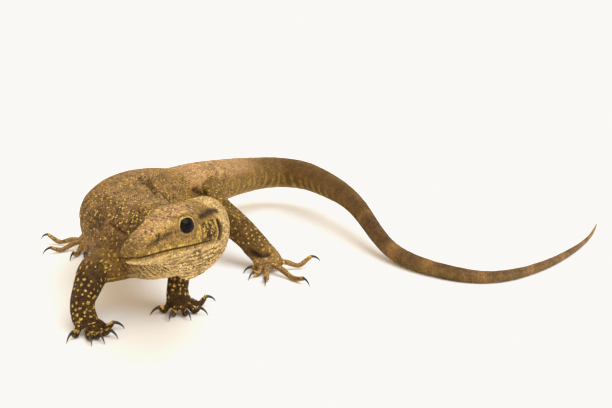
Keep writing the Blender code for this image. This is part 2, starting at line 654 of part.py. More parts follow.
def toe_rings(start, tip, claw_length, sides):
    """A toe from the ball of the foot: along the floor to its pad, then up to the root of its claw."""
    away = unit((tip - start) * np.array([1.0, 1.0, 0.0]))
    end = tip[:2] - away[:2] * claw_reach(claw_length)
    run = np.linalg.norm(end - start[:2])
    rows = [[*(start[:2] - away[:2] * TOE_LEAD), TOE_ROOT, TOE_RADIUS * 1.1, TOE_RADIUS]]
    for share, wide, tall, height, lift in TOE_ALONG:
        place = start[:2] + away[:2] * run * share
        rows.append([*place, height + lift * tip[2], TOE_RADIUS * wide, TOE_RADIUS * tall])
    root = end + away[:2] * CLAW_ROOT_LAP
    rows.append([*root, CLAW_RISE + tip[2] - 0.2, CLAW_WIDTH * TOE_OVER_CLAW, CLAW_DEPTH * TOE_OVER_CLAW])
    rows = np.array(rows)
    knots = knots_of(rows)
    at = np.linspace(0.0, knots[-1], TOE_RINGS)
    values = through(rows, knots, at)
    along = axes_along(rows, knots, at)
    along[-1] = unit(away * math.cos(CLAW_UP) + np.array([0.0, 0.0, math.sin(CLAW_UP)]))
    side = unit(np.cross(along, [0.0, 0.0, 1.0]))
    lift = np.cross(side, along)
    angle = np.arange(sides) * 2 * math.pi / sides + math.pi / sides
    out = values[:, 3:4] * np.cos(angle)
    tall = values[:, 4:5] * np.sin(angle)
    rings = values[:, None, :3] + side[:, None] * out[..., None] + lift[:, None] * tall[..., None]
    return rings, values[-1, :3], along[-1], away


def claw_reach(length):
    """How far a claw reaches forward of its root."""
    return length / (CLAW_UP + CLAW_DOWN) * (math.sin(CLAW_UP) + math.sin(CLAW_DOWN))


def claw_rings(root, away, length, sides, count=7):
    """A claw along an arc that rises from its root and ends pointing at the floor."""
    radius = length / (CLAW_UP + CLAW_DOWN)
    share = np.linspace(0.0, 1.0, count)
    lean = CLAW_UP - share * (CLAW_UP + CLAW_DOWN)
    forward = radius * (math.sin(CLAW_UP) - np.sin(lean))
    height = radius * (np.cos(lean) - math.cos(CLAW_UP))
    centre = root + away * forward[:, None] + np.array([0.0, 0.0, 1.0]) * height[:, None]
    along = away * np.cos(lean)[:, None] + np.array([0.0, 0.0, 1.0]) * np.sin(lean)[:, None]
    side = unit(np.cross(away, [0.0, 0.0, 1.0])) + np.zeros_like(along)
    lift = np.cross(side, along)
    taper = CLAW_POINT + (1 - CLAW_POINT) * (1 - share) ** CLAW_TAPER
    angle = np.arange(sides) * 2 * math.pi / sides + math.pi / sides
    out = (CLAW_WIDTH * taper)[:, None] * np.cos(angle)
    tall = (CLAW_DEPTH * taper)[:, None] * np.sin(angle)
    return centre[:, None] + side[:, None] * out[..., None] + lift[:, None] * tall[..., None]


def make_limb(name, limb, skin, horn):
    """Upper and lower limb cut to meet the body, a foot with five fused toes, and five claws."""
    table = np.array(limb["rows"])
    knots = knots_of(table)
    elbow, wrist, end = knots[ELBOW_ROW], knots[WRIST_ROW], knots[-1]
    words = ("upper_arm", "forearm", "hand") if name.startswith("front") else ("thigh", "shin", "foot")
    side_word = name.split("_")[1]
    spans = [(0.0, elbow, 8), (elbow + GAP, wrist, 7), (wrist + GAP, end, 8)]
    pieces = []
    for word, (start, stop, count) in zip(words, spans):
        rings = limb_rings(limb["rows"], np.linspace(start, stop, count), LIMB_SIDES)
        pieces.append(fill_object(f"{word}_{side_word}", rings, skin))
    foot = pieces[2]
    body = spine_rings(np.linspace(0.0, HIPS_END + BODY_BEYOND, 60), 36, GAP)
    for piece in pieces[:2]:
        boolean(piece, "DIFFERENCE", [fill_object("body_clearance", body, skin)])
        largest_shell(piece)
    palm = table[-3, :3] + PALM_SHARE * (table[-2, :3] - table[-3, :3])
    toes = []
    for number, tip in enumerate(limb["tips"], 1):
        tip = np.array(tip)
        toward = unit((tip - palm) * np.array([1.0, 1.0, 0.0]))
        start = palm + toward * TOE_START
        rings, root, along, away = toe_rings(start, tip, limb["claw"], TOE_SIDES)
        toes.append(fill_object(f"toe_{number}", rings, skin))
        claw = claw_rings(root + along * CLAW_GAP, away, limb["claw"], CLAW_SIDES)
        press_flat(fill_object(f"{words[2]}_{side_word}_claw_{number}", claw, horn))
    fuse(foot, toes, FOOT_STEP, FOOT_FACES)
    largest_shell(foot)
    press_flat(foot)


def centre_origin(thing):
    """Puts the object's origin in the middle of its box without moving its shape."""
    count = len(thing.data.vertices)
    points = np.empty(count * 3)
    thing.data.vertices.foreach_get("co", points)
    points = points.reshape(-1, 3)
    middle = 0.5 * (points.min(axis=0) + points.max(axis=0))
    thing.data.vertices.foreach_set("co", (points - middle).ravel())
    thing.location = Vector(middle)
    thing.data.update()


def main():
    clear_scene()
    looks = {name: material(name, look) for name, look in LOOKS.items()}
    make_head(looks["head_skin"], looks["eye"])
    make_spine(looks)
    for name, limb in LIMBS.items():
        make_limb(name, limb, looks["limb_skin"], looks["claw_horn"])
    for thing in bpy.context.scene.objects:
        centre_origin(thing)
        thing.data.shade_smooth()


main()
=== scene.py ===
import math
import time
from functools import partial

import bmesh
import bpy
import numpy as np
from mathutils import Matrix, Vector
from mathutils.bvhtree import BVHTree
from mathutils.kdtree import KDTree


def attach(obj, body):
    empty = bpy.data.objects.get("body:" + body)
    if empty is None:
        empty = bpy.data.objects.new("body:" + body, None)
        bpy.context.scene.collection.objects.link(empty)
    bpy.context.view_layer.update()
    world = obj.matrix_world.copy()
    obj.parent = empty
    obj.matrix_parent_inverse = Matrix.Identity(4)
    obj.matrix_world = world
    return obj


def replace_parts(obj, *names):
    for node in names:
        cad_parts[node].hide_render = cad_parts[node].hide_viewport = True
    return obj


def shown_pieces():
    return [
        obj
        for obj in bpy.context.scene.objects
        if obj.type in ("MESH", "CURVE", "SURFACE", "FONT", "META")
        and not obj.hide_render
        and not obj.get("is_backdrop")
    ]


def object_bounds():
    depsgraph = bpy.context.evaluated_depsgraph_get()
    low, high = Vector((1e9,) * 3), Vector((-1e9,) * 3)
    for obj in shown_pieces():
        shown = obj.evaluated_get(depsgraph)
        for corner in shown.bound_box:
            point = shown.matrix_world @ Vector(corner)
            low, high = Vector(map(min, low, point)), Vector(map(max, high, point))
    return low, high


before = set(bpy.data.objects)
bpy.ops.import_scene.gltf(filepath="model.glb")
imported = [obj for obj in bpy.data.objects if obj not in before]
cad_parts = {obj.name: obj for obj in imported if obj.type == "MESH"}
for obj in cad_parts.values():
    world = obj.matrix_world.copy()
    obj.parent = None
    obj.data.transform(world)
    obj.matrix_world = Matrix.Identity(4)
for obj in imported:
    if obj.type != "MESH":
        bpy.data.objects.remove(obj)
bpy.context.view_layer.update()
started = time.time()

# The lizard is laid out in millimetres round a corner of its own, then moved by this much into the frame.
millimetre = 0.001
frameOrigin = np.array([15.321, -152.0875, 0.0])
coatDepth = dict(head=0.14, spine=0.26, limb=0.24, toe=0.16)
fullTurn = 2 * math.pi
upward = np.array([0.0, 0.0, 1.0])
level = np.array([1.0, 1.0, 0.0])


def stage(words):
    print(f"{time.time() - started:6.1f} s  {words}")


def smoothStep(t):
    t = np.clip(t, 0.0, 1.0)
    return t * t * (3.0 - 2.0 * t)


def rising(values, start, width):
    # 0 up to the start, 1 from one width past it
    return smoothStep((values - start) / width)


def falling(values, start, width):
    return 1 - rising(values, start, width)


def until(values, end, width):
    # 1 up to one width before the end, 0 past it
    return smoothStep((end - values) / width)


def bell(values, middle, width):
    return np.exp(-((values - middle) / width) ** 2)


def unit(vectors):
    return vectors / np.maximum(np.linalg.norm(vectors, axis=-1, keepdims=True), 1e-12)


def knotsOf(rows):
    # distance along the straight legs between the rows' points
    return np.concatenate([[0.0], np.cumsum(np.linalg.norm(np.diff(rows[:, :3], axis=0), axis=1))])


def evenSlopes(rows, knots):
    # slopes at the knots that make the second derivative run on evenly from span to span
    gap = np.diff(knots)
    rise = np.diff(rows, axis=0) / gap[:, None]
    weight = np.diag(np.concatenate([[2.0], 2.0 * (1 / gap[:-1] + 1 / gap[1:]), [2.0]]))
    weight += np.diag(np.concatenate([[1.0], 1 / gap[1:]]), 1)
    weight += np.diag(np.concatenate([1 / gap[:-1], [1.0]]), -1)
    inner = rise[:-1] / gap[:-1, None] + rise[1:] / gap[1:, None]
    return np.linalg.solve(weight, 3.0 * np.vstack([rise[:1], inner, rise[-1:]]))


def through(rows, knots, at):
    # cubic Hermite spans: every column of rows as one smooth curve read at the values in at
    slopes = evenSlopes(rows, knots)
    i = np.clip(np.searchsorted(knots, at, side="right") - 1, 0, len(knots) - 2)
    span = (knots[i + 1] - knots[i])[:, None]
    u = (at - knots[i])[:, None] / span
    start = (1 + 2 * u) * (1 - u) ** 2 * rows[i] + u * (1 - u) ** 2 * span * slopes[i]
    end = u * u * (3 - 2 * u) * rows[i + 1] - u * u * (1 - u) * span * slopes[i + 1]
    return start + end


def headingAlong(rows, knots, at):
    # unit difference of the curve a little ahead and a little behind
    reach = 0.4
    ahead = through(rows[:, :3], knots, np.minimum(at + reach, knots[-1]))
    behind = through(rows[:, :3], knots, np.maximum(at - reach, 0.0))
    return unit(ahead - behind)


def latticeNoise(points, size, seed):
    # random heights at the corners of cubes of this size, joined smoothly between them, from -1 to 1
    cell = points / size
    base = np.floor(cell).astype(np.int64)
    part = smoothStep(cell - base)
    total = np.zeros(points.shape[:-1])
    for corner in np.ndindex(2, 2, 2):
        key = ((base + np.array(corner)) * np.array([73856093, 19349663, 83492791])).sum(-1) + seed * 7919
        key = (key ^ (key >> 13)) * 1274126177
        key = (key ^ (key >> 16)) & 0xFFFF
        weight = np.prod(np.where(np.array(corner) == 1, part, 1 - part), axis=-1)
        total += (key / 32767.5 - 1.0) * weight
    return total


def tint(red, green, blue):
    # a colour as screens give it, 0 to 255, as linear light
    parts = (red / 255.0, green / 255.0, blue / 255.0)
    return tuple(((c + 0.055) / 1.055) ** 2.4 if c > 10 / 255.0 else c / 12.92 for c in parts) + (1.0,)


headSize = dict(
    place=np.array([-44.4, -260.3, 53.2]), yaw=math.radians(-110.1), pitch=math.radians(1.6),
    roll=math.radians(-4.9), back=-8.0, tip=48.7, throatTaper=1.5, browSquare=0.34, crownSquare=0.12,
    mouthCorner=6.5, lipDepth=0.75, lipWidth=0.26, upperLip=0.22, lowerLip=0.15, wrinkles=0.42,
    # x, half width, height of the crown, of the mouth line and of the throat
    rows=np.array([
        [-8.0, 11.6, 10.4, -2.4, -20.6], [0.0, 11.9, 10.9, -2.0, -21.4], [7.0, 11.5, 11.1, -1.6, -19.2],
        [14.0, 10.6, 11.0, -1.2, -14.6], [20.5, 9.5, 10.5, -0.9, -10.6], [27.0, 7.9, 9.2, -0.5, -7.8],
        [35.0, 6.2, 7.6, -0.1, -5.9], [41.4, 5.1, 6.2, 0.1, -4.4], [45.6, 4.0, 4.9, 0.1, -3.1],
        [47.7, 2.6, 3.2, 0.1, -2.0], [48.7, 0.9, 1.4, 0.1, -0.7],
    ]),
)
openings = dict(
    nostril=dict(at=np.array([36.0, 5.2, 5.3]), half=(1.55, 1.5, 0.5), lean=-0.8, depth=1.3),
    ear=dict(at=np.array([0.3, 11.7, 0.8]), half=(2.2, 3.0, 4.3), lean=0.20, depth=3.2),
)
eyeSize = dict(
    at=np.array([19.4, 5.3, 5.95]), radius=4.1, bulge=0.16, halfLength=3.72, halfHeight=2.95, socket=3.0,
    facing={1.0: np.array([0.44, 0.86, 0.27]), -1.0: np.array([0.02, -0.98, 0.12])},
    lid=4.70, lidSoft=0.45, lidThin=0.45, furrow=0.34, furrowAt=1.29, crinkle=0.18, rimRadius=0.16, rimBeads=26,
)
# heights that stand out from the plain head: height, place, half sizes, lean in the side view
headForms = dict(
    brow=(1.45, np.array([19.5, 7.8, 10.2]), (6.5, 3.0, 2.0), -0.10),
    browFront=(1.45, np.array([25.2, 7.3, 8.5]), (4.6, 2.4, 1.8), -0.22),
    snoutRidge=(0.45, np.array([31.5, 5.6, 7.6]), (6.5, 2.0, 1.5), -0.22),
    eyeHollow=(-0.75, np.array([29.0, 7.6, 3.9]), (5.0, 3.0, 2.2), -0.1),
    cheek=(0.7, np.array([5.5, 11.8, 1.8]), (5.5, 4.0, 4.4), 0.0),
    templeHollow=(-0.9, np.array([10.0, 10.2, 8.2]), (5.5, 2.6, 1.8), -0.2),
    nostrilSwell=(0.35, openings["nostril"]["at"] + np.array([0.0, 1.0, 0.0]), (3.2, 2.2, 2.0), -0.8),
    earFront=(0.5, openings["ear"]["at"] + np.array([3.2, 0.0, 0.0]), (1.3, 3.0, 4.6), 0.20),
    earBack=(0.8, openings["ear"]["at"] + np.array([-3.4, 0.0, 0.0]), (1.5, 3.0, 4.6), 0.20),
)


def headAxes():
    # columns: forward, left and up
    cy, sy, cp, sp, cr, sr = (f(headSize[word]) for word in ("yaw", "pitch", "roll") for f in (math.cos, math.sin))
    turn = np.array([[cy, -sy, 0], [sy, cy, 0], [0, 0, 1]])
    nod = np.array([[cp, 0, -sp], [0, 1, 0], [sp, 0, cp]])
    tilt = np.array([[1, 0, 0], [0, cr, -sr], [0, sr, cr]])
    return turn @ nod @ tilt


headTurn = headAxes()


def fromHead(points):
    return points @ headTurn.T + headSize["place"]


def toHead(points):
    return (points - headSize["place"]) @ headTurn


def headPlain(x, turn):
    # an oval whose top half is squared over the brows and whose lower half tapers to the throat
    rows = headSize["rows"]
    w, crown, mouth, throat = through(rows[:, 1:], rows[:, 0], x).T
    across, height = -np.cos(fullTurn * turn), np.sin(fullTurn * turn)
    flat = smoothStep(x / 18.0) * falling(x, 40.0, 11.0)
    over = height > 0
    square = np.where(over, 1 - headSize["browSquare"] * flat, headSize["throatTaper"])
    y = w * np.sign(across) * np.abs(across) ** square
    top = mouth + (crown - mouth) * np.abs(height) ** (1 - headSize["crownSquare"] * flat)
    z = np.where(over, top, mouth - (mouth - throat) * np.abs(height))
    return np.stack([x, y, z], -1)


def leaned(d, lean):
    # the two distances in the side view, turned by the lean
    c, s = math.cos(lean), math.sin(lean)
    return c * d[:, 0] + s * d[:, 2], -s * d[:, 0] + c * d[:, 2]


def swell(points, centre, half, lean=0.0):
    # 1 at the centre, falling away as a bell over the half sizes
    d = points - centre
    dx, dz = leaned(d, lean)
    return np.exp(-1.6 * ((dx / half[0]) ** 2 + (d[:, 1] / half[1]) ** 2 + (dz / half[2]) ** 2))


def openingView(points, opening):
    # distances from the middle of a nostril or ear, and their ratio to its edge
    dx, dz = leaned(points - opening["at"], opening["lean"])
    return dx, dz, np.sqrt((dx / opening["half"][0]) ** 2 + (dz / opening["half"][2]) ** 2)


def mouthHeight(x):
    rows = headSize["rows"]
    return through(rows[:, 3:4], rows[:, 0], np.clip(x, rows[0, 0], rows[-1, 0]))[:, 0]


def headRelief(points):
    # the forms of brow, snout, cheek and ear, and lips beside the mouth line, over the plain head
    both = points * np.array([1.0, 0.0, 1.0]) + np.abs(points) * np.array([0.0, 1.0, 0.0])
    x = both[:, 0]
    over = both[:, 2] - mouthHeight(x)
    relief = sum(height * swell(both, *form) for height, *form in headForms.values())
    shut = rising(x, headSize["mouthCorner"], 2.0)
    relief -= headSize["lipDepth"] * bell(over, 0.0, headSize["lipWidth"]) * shut
    relief += headSize["upperLip"] * bell(over, 1.0, 0.75) * shut * falling(x, 44, 6)
    relief += headSize["lowerLip"] * bell(over, -0.9, 0.7) * shut * falling(x, 44, 6)
    return relief


def throatWrinkles(points):
    # uneven folds that run along the jaw: a wave down the side, bent and broken by noise
    x = points[:, 0]
    drop = mouthHeight(x) - points[:, 2]
    bend = 1.3 * latticeNoise(points, 7.0, 3) + 0.5 * latticeNoise(points, 2.6, 4)
    wave = np.sin(fullTurn * (drop - 0.13 * x + bend) / 2.05)
    breaks = 0.55 + 0.45 * latticeNoise(points * np.array([0.45, 1, 1]), 2.2, 5)
    where = rising(drop, 1.3, 2.2) * falling(x, 30.0, 9.0) * rising(x, -16, 8)
    return np.abs(wave) ** 0.8 * np.sign(wave) * breaks * where


def eyeAxes(side):
    # the eye's centre, the way it faces, and forward and up across it
    facing = unit(eyeSize["facing"][side])
    fore = unit(np.array([1.0, 0.0, 0.0]) - facing * facing[0])
    rise = np.cross(facing, fore)
    return eyeSize["at"] * np.array([1.0, side, 1.0]), facing, fore, rise * np.sign(rise[2])


def eyeView(points, side):
    # distance from the eye's centre, ratio to the opening's edge, and height in it, seen along the way it faces
    centre, facing, fore, rise = eyeAxes(side)
    away = points - centre
    over, up, out = away @ fore, away @ rise, away @ facing
    ratio = np.sqrt((over / eyeSize["halfLength"]) ** 2 + (up / eyeSize["halfHeight"]) ** 2)
    return away, ratio, over, up, out


def headSkin(x, turn):
    # the plain head pushed out along its normal by the relief, wrapped over the eyes and opened for them
    step, turnStep = 0.02, 0.0004
    plain = headPlain(x, turn)
    ahead, behind = np.minimum(x + step, headSize["tip"]), np.maximum(x - step, headSize["back"])
    along = headPlain(ahead, turn) - headPlain(behind, turn)
    around = headPlain(x, turn + turnStep) - headPlain(x, turn - turnStep)
    normal = unit(np.cross(along, around))
    middle = np.stack([x - 2.0, np.zeros_like(x), mouthHeight(x)], -1)
    normal *= np.where(np.sum(normal * (plain - middle), axis=-1, keepdims=True) < 0, -1.0, 1.0)
    fade = rising(x, headSize["back"], 3.0)
    points = plain + normal * (headRelief(plain) * fade - coatDepth["head"])[:, None]
    points += normal * (headSize["wrinkles"] * throatWrinkles(plain))[:, None]
    for side in (1.0, -1.0):
        away, ratio, _, up, out = eyeView(points, side)
        far = np.linalg.norm(away, axis=-1)
        soft = eyeSize["lidSoft"]
        pushed = eyeSize["lid"] + np.log1p(np.exp((far - eyeSize["lid"]) / soft)) * soft
        wrapped = far + (pushed - far) * rising(out, -2.6, 1.6)
        # a shallow furrow over the lid and finer ones under it
        ring = np.where(up > 0, -eyeSize["furrow"] * bell(ratio, eyeSize["furrowAt"], 0.08), 0.0)
        crinkle = -eyeSize["crinkle"] * np.cos(fullTurn * (ratio - 1.14) / 0.20) * (ratio < 1.75)
        ring = ring + np.where(up <= 0, crinkle, 0.0)
        thin = -eyeSize["lidThin"] * falling(ratio, 1.0, 0.5)
        wrapped = wrapped + (ring * rising(ratio, 1.08, 0.1) * (ratio < 2.3) + thin) * (out > 0)
        wrapped = wrapped + (eyeSize["socket"] - wrapped) * falling(ratio, 0.97, 0.10) * (out > 0)
        points = eyeAxes(side)[0] + away / far[:, None] * wrapped[:, None]
    for side in (1.0, -1.0):
        inward = unit(np.array([-0.1, -side, -0.15]))
        for opening in openings.values():
            inside = openingView(points, opening)[2]
            pit = falling(inside, 0.55, 0.55) * (side * points[:, 1] > 2.0)
            points = points + inward * (opening["depth"] * pit)[:, None]
    return points


spineSize = dict(
    # x, y, z, half width, rise over and drop under the line
    neck=[[-46.3, -241.3, 47, 9.9, 12, 17.4], [-53, -232, 43, 11.6, 12.4, 17.2],
          [-60, -222.5, 39.6, 14, 13.6, 18.4], [-68, -213, 37.2, 16.2, 14.8, 20.4]],
    trunk=[[-76, -202.5, 35.6, 18.2, 15.6, 21.6], [-83.5, -189.5, 35, 20.6, 16.2, 20.6],
           [-88.8, -174.5, 34.8, 22.8, 16.4, 20], [-91, -157, 34.8, 23.4, 16.8, 21],
           [-89, -138, 34.8, 23, 16.4, 20.6], [-83, -119.5, 34.4, 20.6, 14.6, 18.4],
           [-74.5, -103.5, 33.8, 17.6, 12.4, 15.8], [-66, -88.5, 33.4, 15, 12.6, 14],
           [-58, -72, 31.8, 12.8, 12.6, 13]],
    tail=[[-50.5, -54.5, 29.8, 11.4, 12.4, 12.2], [-43, -35.5, 27.4, 10.4, 12, 11.4],
          [-33.5, -17, 25, 9.6, 11.4, 10.8], [-19, -6.5, 23.8, 8.8, 10.8, 10.2],
          [-3, -14, 23.6, 8, 10.2, 9.6], [8, -31, 23.4, 7.4, 9.5, 8.9], [16.2, -48, 22.8, 6.9, 8.8, 8.2],
          [23.2, -62.5, 21.2, 6.3, 8.1, 7.2], [29.2, -77, 18.9, 5.9, 7.4, 6.4],
          [34, -92.5, 15.8, 5.4, 6.7, 5.7], [38, -107, 12.2, 5, 6.1, 5.2], [42, -120.5, 9, 4.7, 5.6, 5],
          [47.6, -134.5, 6, 4.5, 5.2, 5], [56, -149, 4.5, 4.2, 4.8, 4.6], [69.5, -163.2, 3.85, 3.7, 4.3, 4.1],
          [88.5, -172, 3.2, 3.1, 3.6, 3.5], [117.5, -158.5, 2.6, 2.5, 3, 2.9],
          [144.5, -129.5, 2, 1.9, 2.4, 2.3], [169.5, -92, 1.3, 1.2, 1.55, 1.5],
          [184, -62, 0.75, 0.65, 0.8, 0.85], [187.7, -53, 0.45, 0.3, 0.4, 0.45]],
    hipsEnd=218.0, neckCut=5.0, keel=0.30, underKeel=0.12, shoulderFull=0.05,
)


def spineTable():
    # two rows inside the back of the head, then the neck, trunk and tail
    width, crown, middle, throat = headSize["rows"][0, 1:]
    rows = []
    for step, less in ((0.35, 0.0), (2.4, 0.5)):
        place = fromHead(np.array([headSize["back"] - step, 0.0, middle]))
        rows.append([*place, width - less, crown - middle, middle - throat])
    return np.array(rows + spineSize["neck"] + spineSize["trunk"] + spineSize["tail"])


spineRows = spineTable()
spineKnots = knotsOf(spineRows)
spineLength = spineKnots[-1]


def onOval(place, side, lift, out, tall):
    return place + side * out[:, None] + lift * tall[:, None]


def spineFrame(at):
    values = through(spineRows, spineKnots, at)
    square = smoothStep(1.0 - at / 18.0)[:, None]
    along = unit(headingAlong(spineRows, spineKnots, at) * (1 - square) - headTurn[:, 0] * square)
    share = smoothStep(1.0 - at / 30.0)[:, None]
    side = unit(np.cross(along, unit(upward * (1 - share) + headTurn[:, 2] * share)))
    return values, along, side, np.cross(side, along)


def spinePoint(at, turn, grow=0.0):
    # an oval with its own rise and drop, full over the shoulders, tapered under the throat, keeled on the tail
    values, _, side, lift = spineFrame(at)
    across, height = -np.cos(fullTurn * turn), np.sin(fullTurn * turn)
    hang = 1 + (headSize["throatTaper"] - 1) * smoothStep(1.0 - at / 60.0)
    across = np.where(height > 0, across, np.sign(across) * np.abs(across) ** hang)
    keel = rising(at, spineSize["hipsEnd"], 90.0)
    narrow = 1 - spineSize["keel"] * keel * np.maximum(height, 0.0) ** 2
    narrow = narrow - spineSize["underKeel"] * keel * np.maximum(-height, 0.0) ** 2
    full = 1 + spineSize["shoulderFull"] * (1 - keel) * np.abs(2 * across * height) * smoothStep(at / 20.0)
    grow = np.minimum(np.abs(grow), 0.35 * values[:, 3]) * np.sign(grow)
    out = (values[:, 3] * narrow * full + grow) * across
    tall = (np.where(height > 0, values[:, 4], values[:, 5]) * full + grow) * height
    return onOval(values[:, :3], side, lift, out, tall)


# rows: x, y, z, half width and half height from the body to the ball of the foot; tips: where the claws end
limbSize = dict(
    front_right=dict(
        rows=[[-74, -201, 26, 9, 8.4], [-84.5, -209.8, 23.2, 8.8, 8.4], [-94.7, -218, 21.8, 7.8, 7.5],
              [-96.8, -226, 16.4, 6.7, 6.2], [-97.8, -232.5, 10.8, 5.6, 5], [-96.6, -235.6, 7, 5.5, 4.1],
              [-94.8, -238.4, 4.8, 5.3, 3.5], [-93.8, -239.8, 3.9, 4.2, 2.5]],
        tips=[[-79.6, -234.4, 0], [-79.9, -246, 0], [-84.2, -251.6, 0], [-89, -253.8, 0], [-100.2, -250.8, 0]],
        claw=6.2, soften=15.0),
    front_left=dict(
        rows=[[-66, -203, 27.6, 8.4, 7.6], [-61, -203.6, 25.4, 7, 6.4], [-58.6, -205.4, 21.4, 6.2, 5.8],
              [-58.8, -207.4, 16.2, 5.7, 5.3], [-59.4, -209.2, 11.4, 5.4, 4.7], [-59.2, -211.4, 7.2, 5.6, 4.1],
              [-58.4, -213.6, 4.8, 5.4, 3.5], [-57.9, -214.8, 3.9, 4.2, 2.5]],
        tips=[[-70.9, -218.2, 0], [-61.2, -226, 0], [-51.6, -224.8, 0], [-44.8, -218.4, 0], [-42.6, -205.6, 2]],
        claw=6.2, soften=15.0),
    hind_left=dict(
        rows=[[-67, -84, 30.5, 11.5, 10.5], [-57.5, -101, 31, 10.2, 9.4], [-50, -122.5, 27, 8.3, 7.8],
              [-36.6, -136.5, 19.2, 7.6, 6.8], [-24.6, -146.6, 10.2, 6.8, 5.4], [-21, -150.2, 7, 7.4, 4.5],
              [-19.2, -154.4, 4.8, 7.8, 3.6], [-18.6, -156.4, 3.9, 6.2, 2.5]],
        tips=[[-32.9, -156.8, 0], [-29.5, -168.8, 0], [-20.5, -178.8, 0], [1.8, -178.4, 0], [7.6, -147.5, 3.5]],
        claw=6.6, soften=19.0),
    hind_right=dict(
        rows=[[-68, -84, 31, 11.5, 10.5], [-86, -87.5, 31.5, 10.2, 9.4], [-107, -91, 28, 7.9, 7.6],
              [-115.6, -98.5, 19, 6.8, 6.5], [-121, -104.6, 10.8, 5.8, 5.1], [-124.6, -108, 7, 6, 4.2],
              [-128.4, -110.2, 4.8, 5.6, 3.5], [-130, -111, 3.9, 4.4, 2.5]],
        tips=[[-116, -127.5, 0], [-122.5, -133.6, 0], [-130, -135.4, 0], [-148.2, -124.4, 0.5],
              [-156.4, -99.8, 2.5]],
        claw=6.6, soften=19.0),
)
footSize = dict(
    toeRadius=1.7, toeRoot=4.3, padHeight=1.4, clawGap=0.6, clawRise=3.55, clawUp=math.radians(5.0),
    clawDown=math.radians(75.0), clawDepth=0.98, clawWidth=0.68, clawRings=22, clawSides=14,
    elbowRow=2, wristRow=4, knuckle=0.07,
)


def limbPoint(limb, at, turn, grow=0.0):
    # an oval whose width turns from the plane of the joint to level across the foot
    table = limb["rows"]
    knots = knotsOf(table)
    places = table[:, :3]
    elbow, wrist = footSize["elbowRow"], footSize["wristRow"]
    bend = unit(np.cross(places[elbow] - places[0], places[wrist] - places[elbow]))
    flat = unit(np.cross(places[-1] - places[wrist], upward))
    bend = bend * (1.0 if bend @ flat >= 0 else -1.0)
    share = smoothStep((np.arange(len(table)) - elbow) / (len(table) - 2.0 - elbow))[:, None]
    table = np.hstack([table, bend * (1 - share) + flat * share])
    values = through(table, knots, at)
    along = headingAlong(table, knots, at)
    side = unit(values[:, 5:8] - along * np.sum(values[:, 5:8] * along, axis=1, keepdims=True))
    out = (values[:, 3] + grow) * np.cos(fullTurn * turn)
    tall = (values[:, 4] + grow) * np.sin(fullTurn * turn)
    return onOval(values[:, :3], side, np.cross(side, along), out, tall)


def toeTable(limb, tip):
    # a toe leaves the ball of the foot, lies along the floor to its pad, and its last joint lifts the claw
    table, tip = limb["rows"], np.array(tip, float)
    radius, rise, root = footSize["toeRadius"], footSize["clawRise"], footSize["toeRoot"]
    palm = 0.45 * table[-3, :3] + 0.55 * table[-2, :3]
    start = palm + unit((tip - palm) * level) * 3.2
    away = unit((tip - start) * level)
    up, down = footSize["clawUp"], footSize["clawDown"]
    end = tip[:2] - away[:2] * (limb["claw"] / (up + down) * (math.sin(up) + math.sin(down)))
    run = np.linalg.norm(end - start[:2])
    rows = [[*(start[:2] - away[:2] * 1.5), root, radius * 1.1, radius]]
    for share, height, wide, tall in (
        (0.36, 0.8 * root + 0.2 * tip[2], 0.97, 0.92), (0.68, footSize["padHeight"] + 0.25 * tip[2], 0.90, 0.87),
        (0.88, 0.62 * rise + 0.8 * tip[2], 0.80, 0.80),
    ):
        rows.append([*(start[:2] + away[:2] * run * share), height, radius * wide, radius * tall])
    last = [footSize["clawWidth"] * 1.5, footSize["clawDepth"] * 1.5]
    rows.append([*(end + away[:2] * 0.3), rise + tip[2] - 0.2, *last])
    return np.array(rows), away


for limb in limbSize.values():
    limb["rows"] = np.array(limb["rows"], float)
    limb["length"] = knotsOf(limb["rows"])[-1]
    limb["toes"] = [toeTable(limb, tip) for tip in limb["tips"]]


def clawHeading(away):
    return unit(away * math.cos(footSize["clawUp"]) + upward * math.sin(footSize["clawUp"]))


def toePoint(rows, away, at, turn, grow=0.0):
    # a round toe, level across, a little thicker at its joints, whose end turns up towards the claw's root
    knots = knotsOf(rows)
    values = through(rows, knots, at)
    share = smoothStep((at - knots[-1] + 1.0) / 1.0)[:, None]
    along = unit(headingAlong(rows, knots, at) * (1 - share) + clawHeading(away) * share)
    side = unit(np.cross(along, upward))
    knuckle = footSize["knuckle"] * np.cos(fullTurn * at / (knots[-1] / 2.6)) * smoothStep(at / 4)
    knuckle = 1 + knuckle * smoothStep((knots[-1] - at) / 3)
    out = (values[:, 3] * knuckle + grow) * np.cos(fullTurn * turn)
    tall = (values[:, 4] * knuckle + grow) * np.sin(fullTurn * turn)
    return onOval(values[:, :3], side, np.cross(side, along), out, tall)


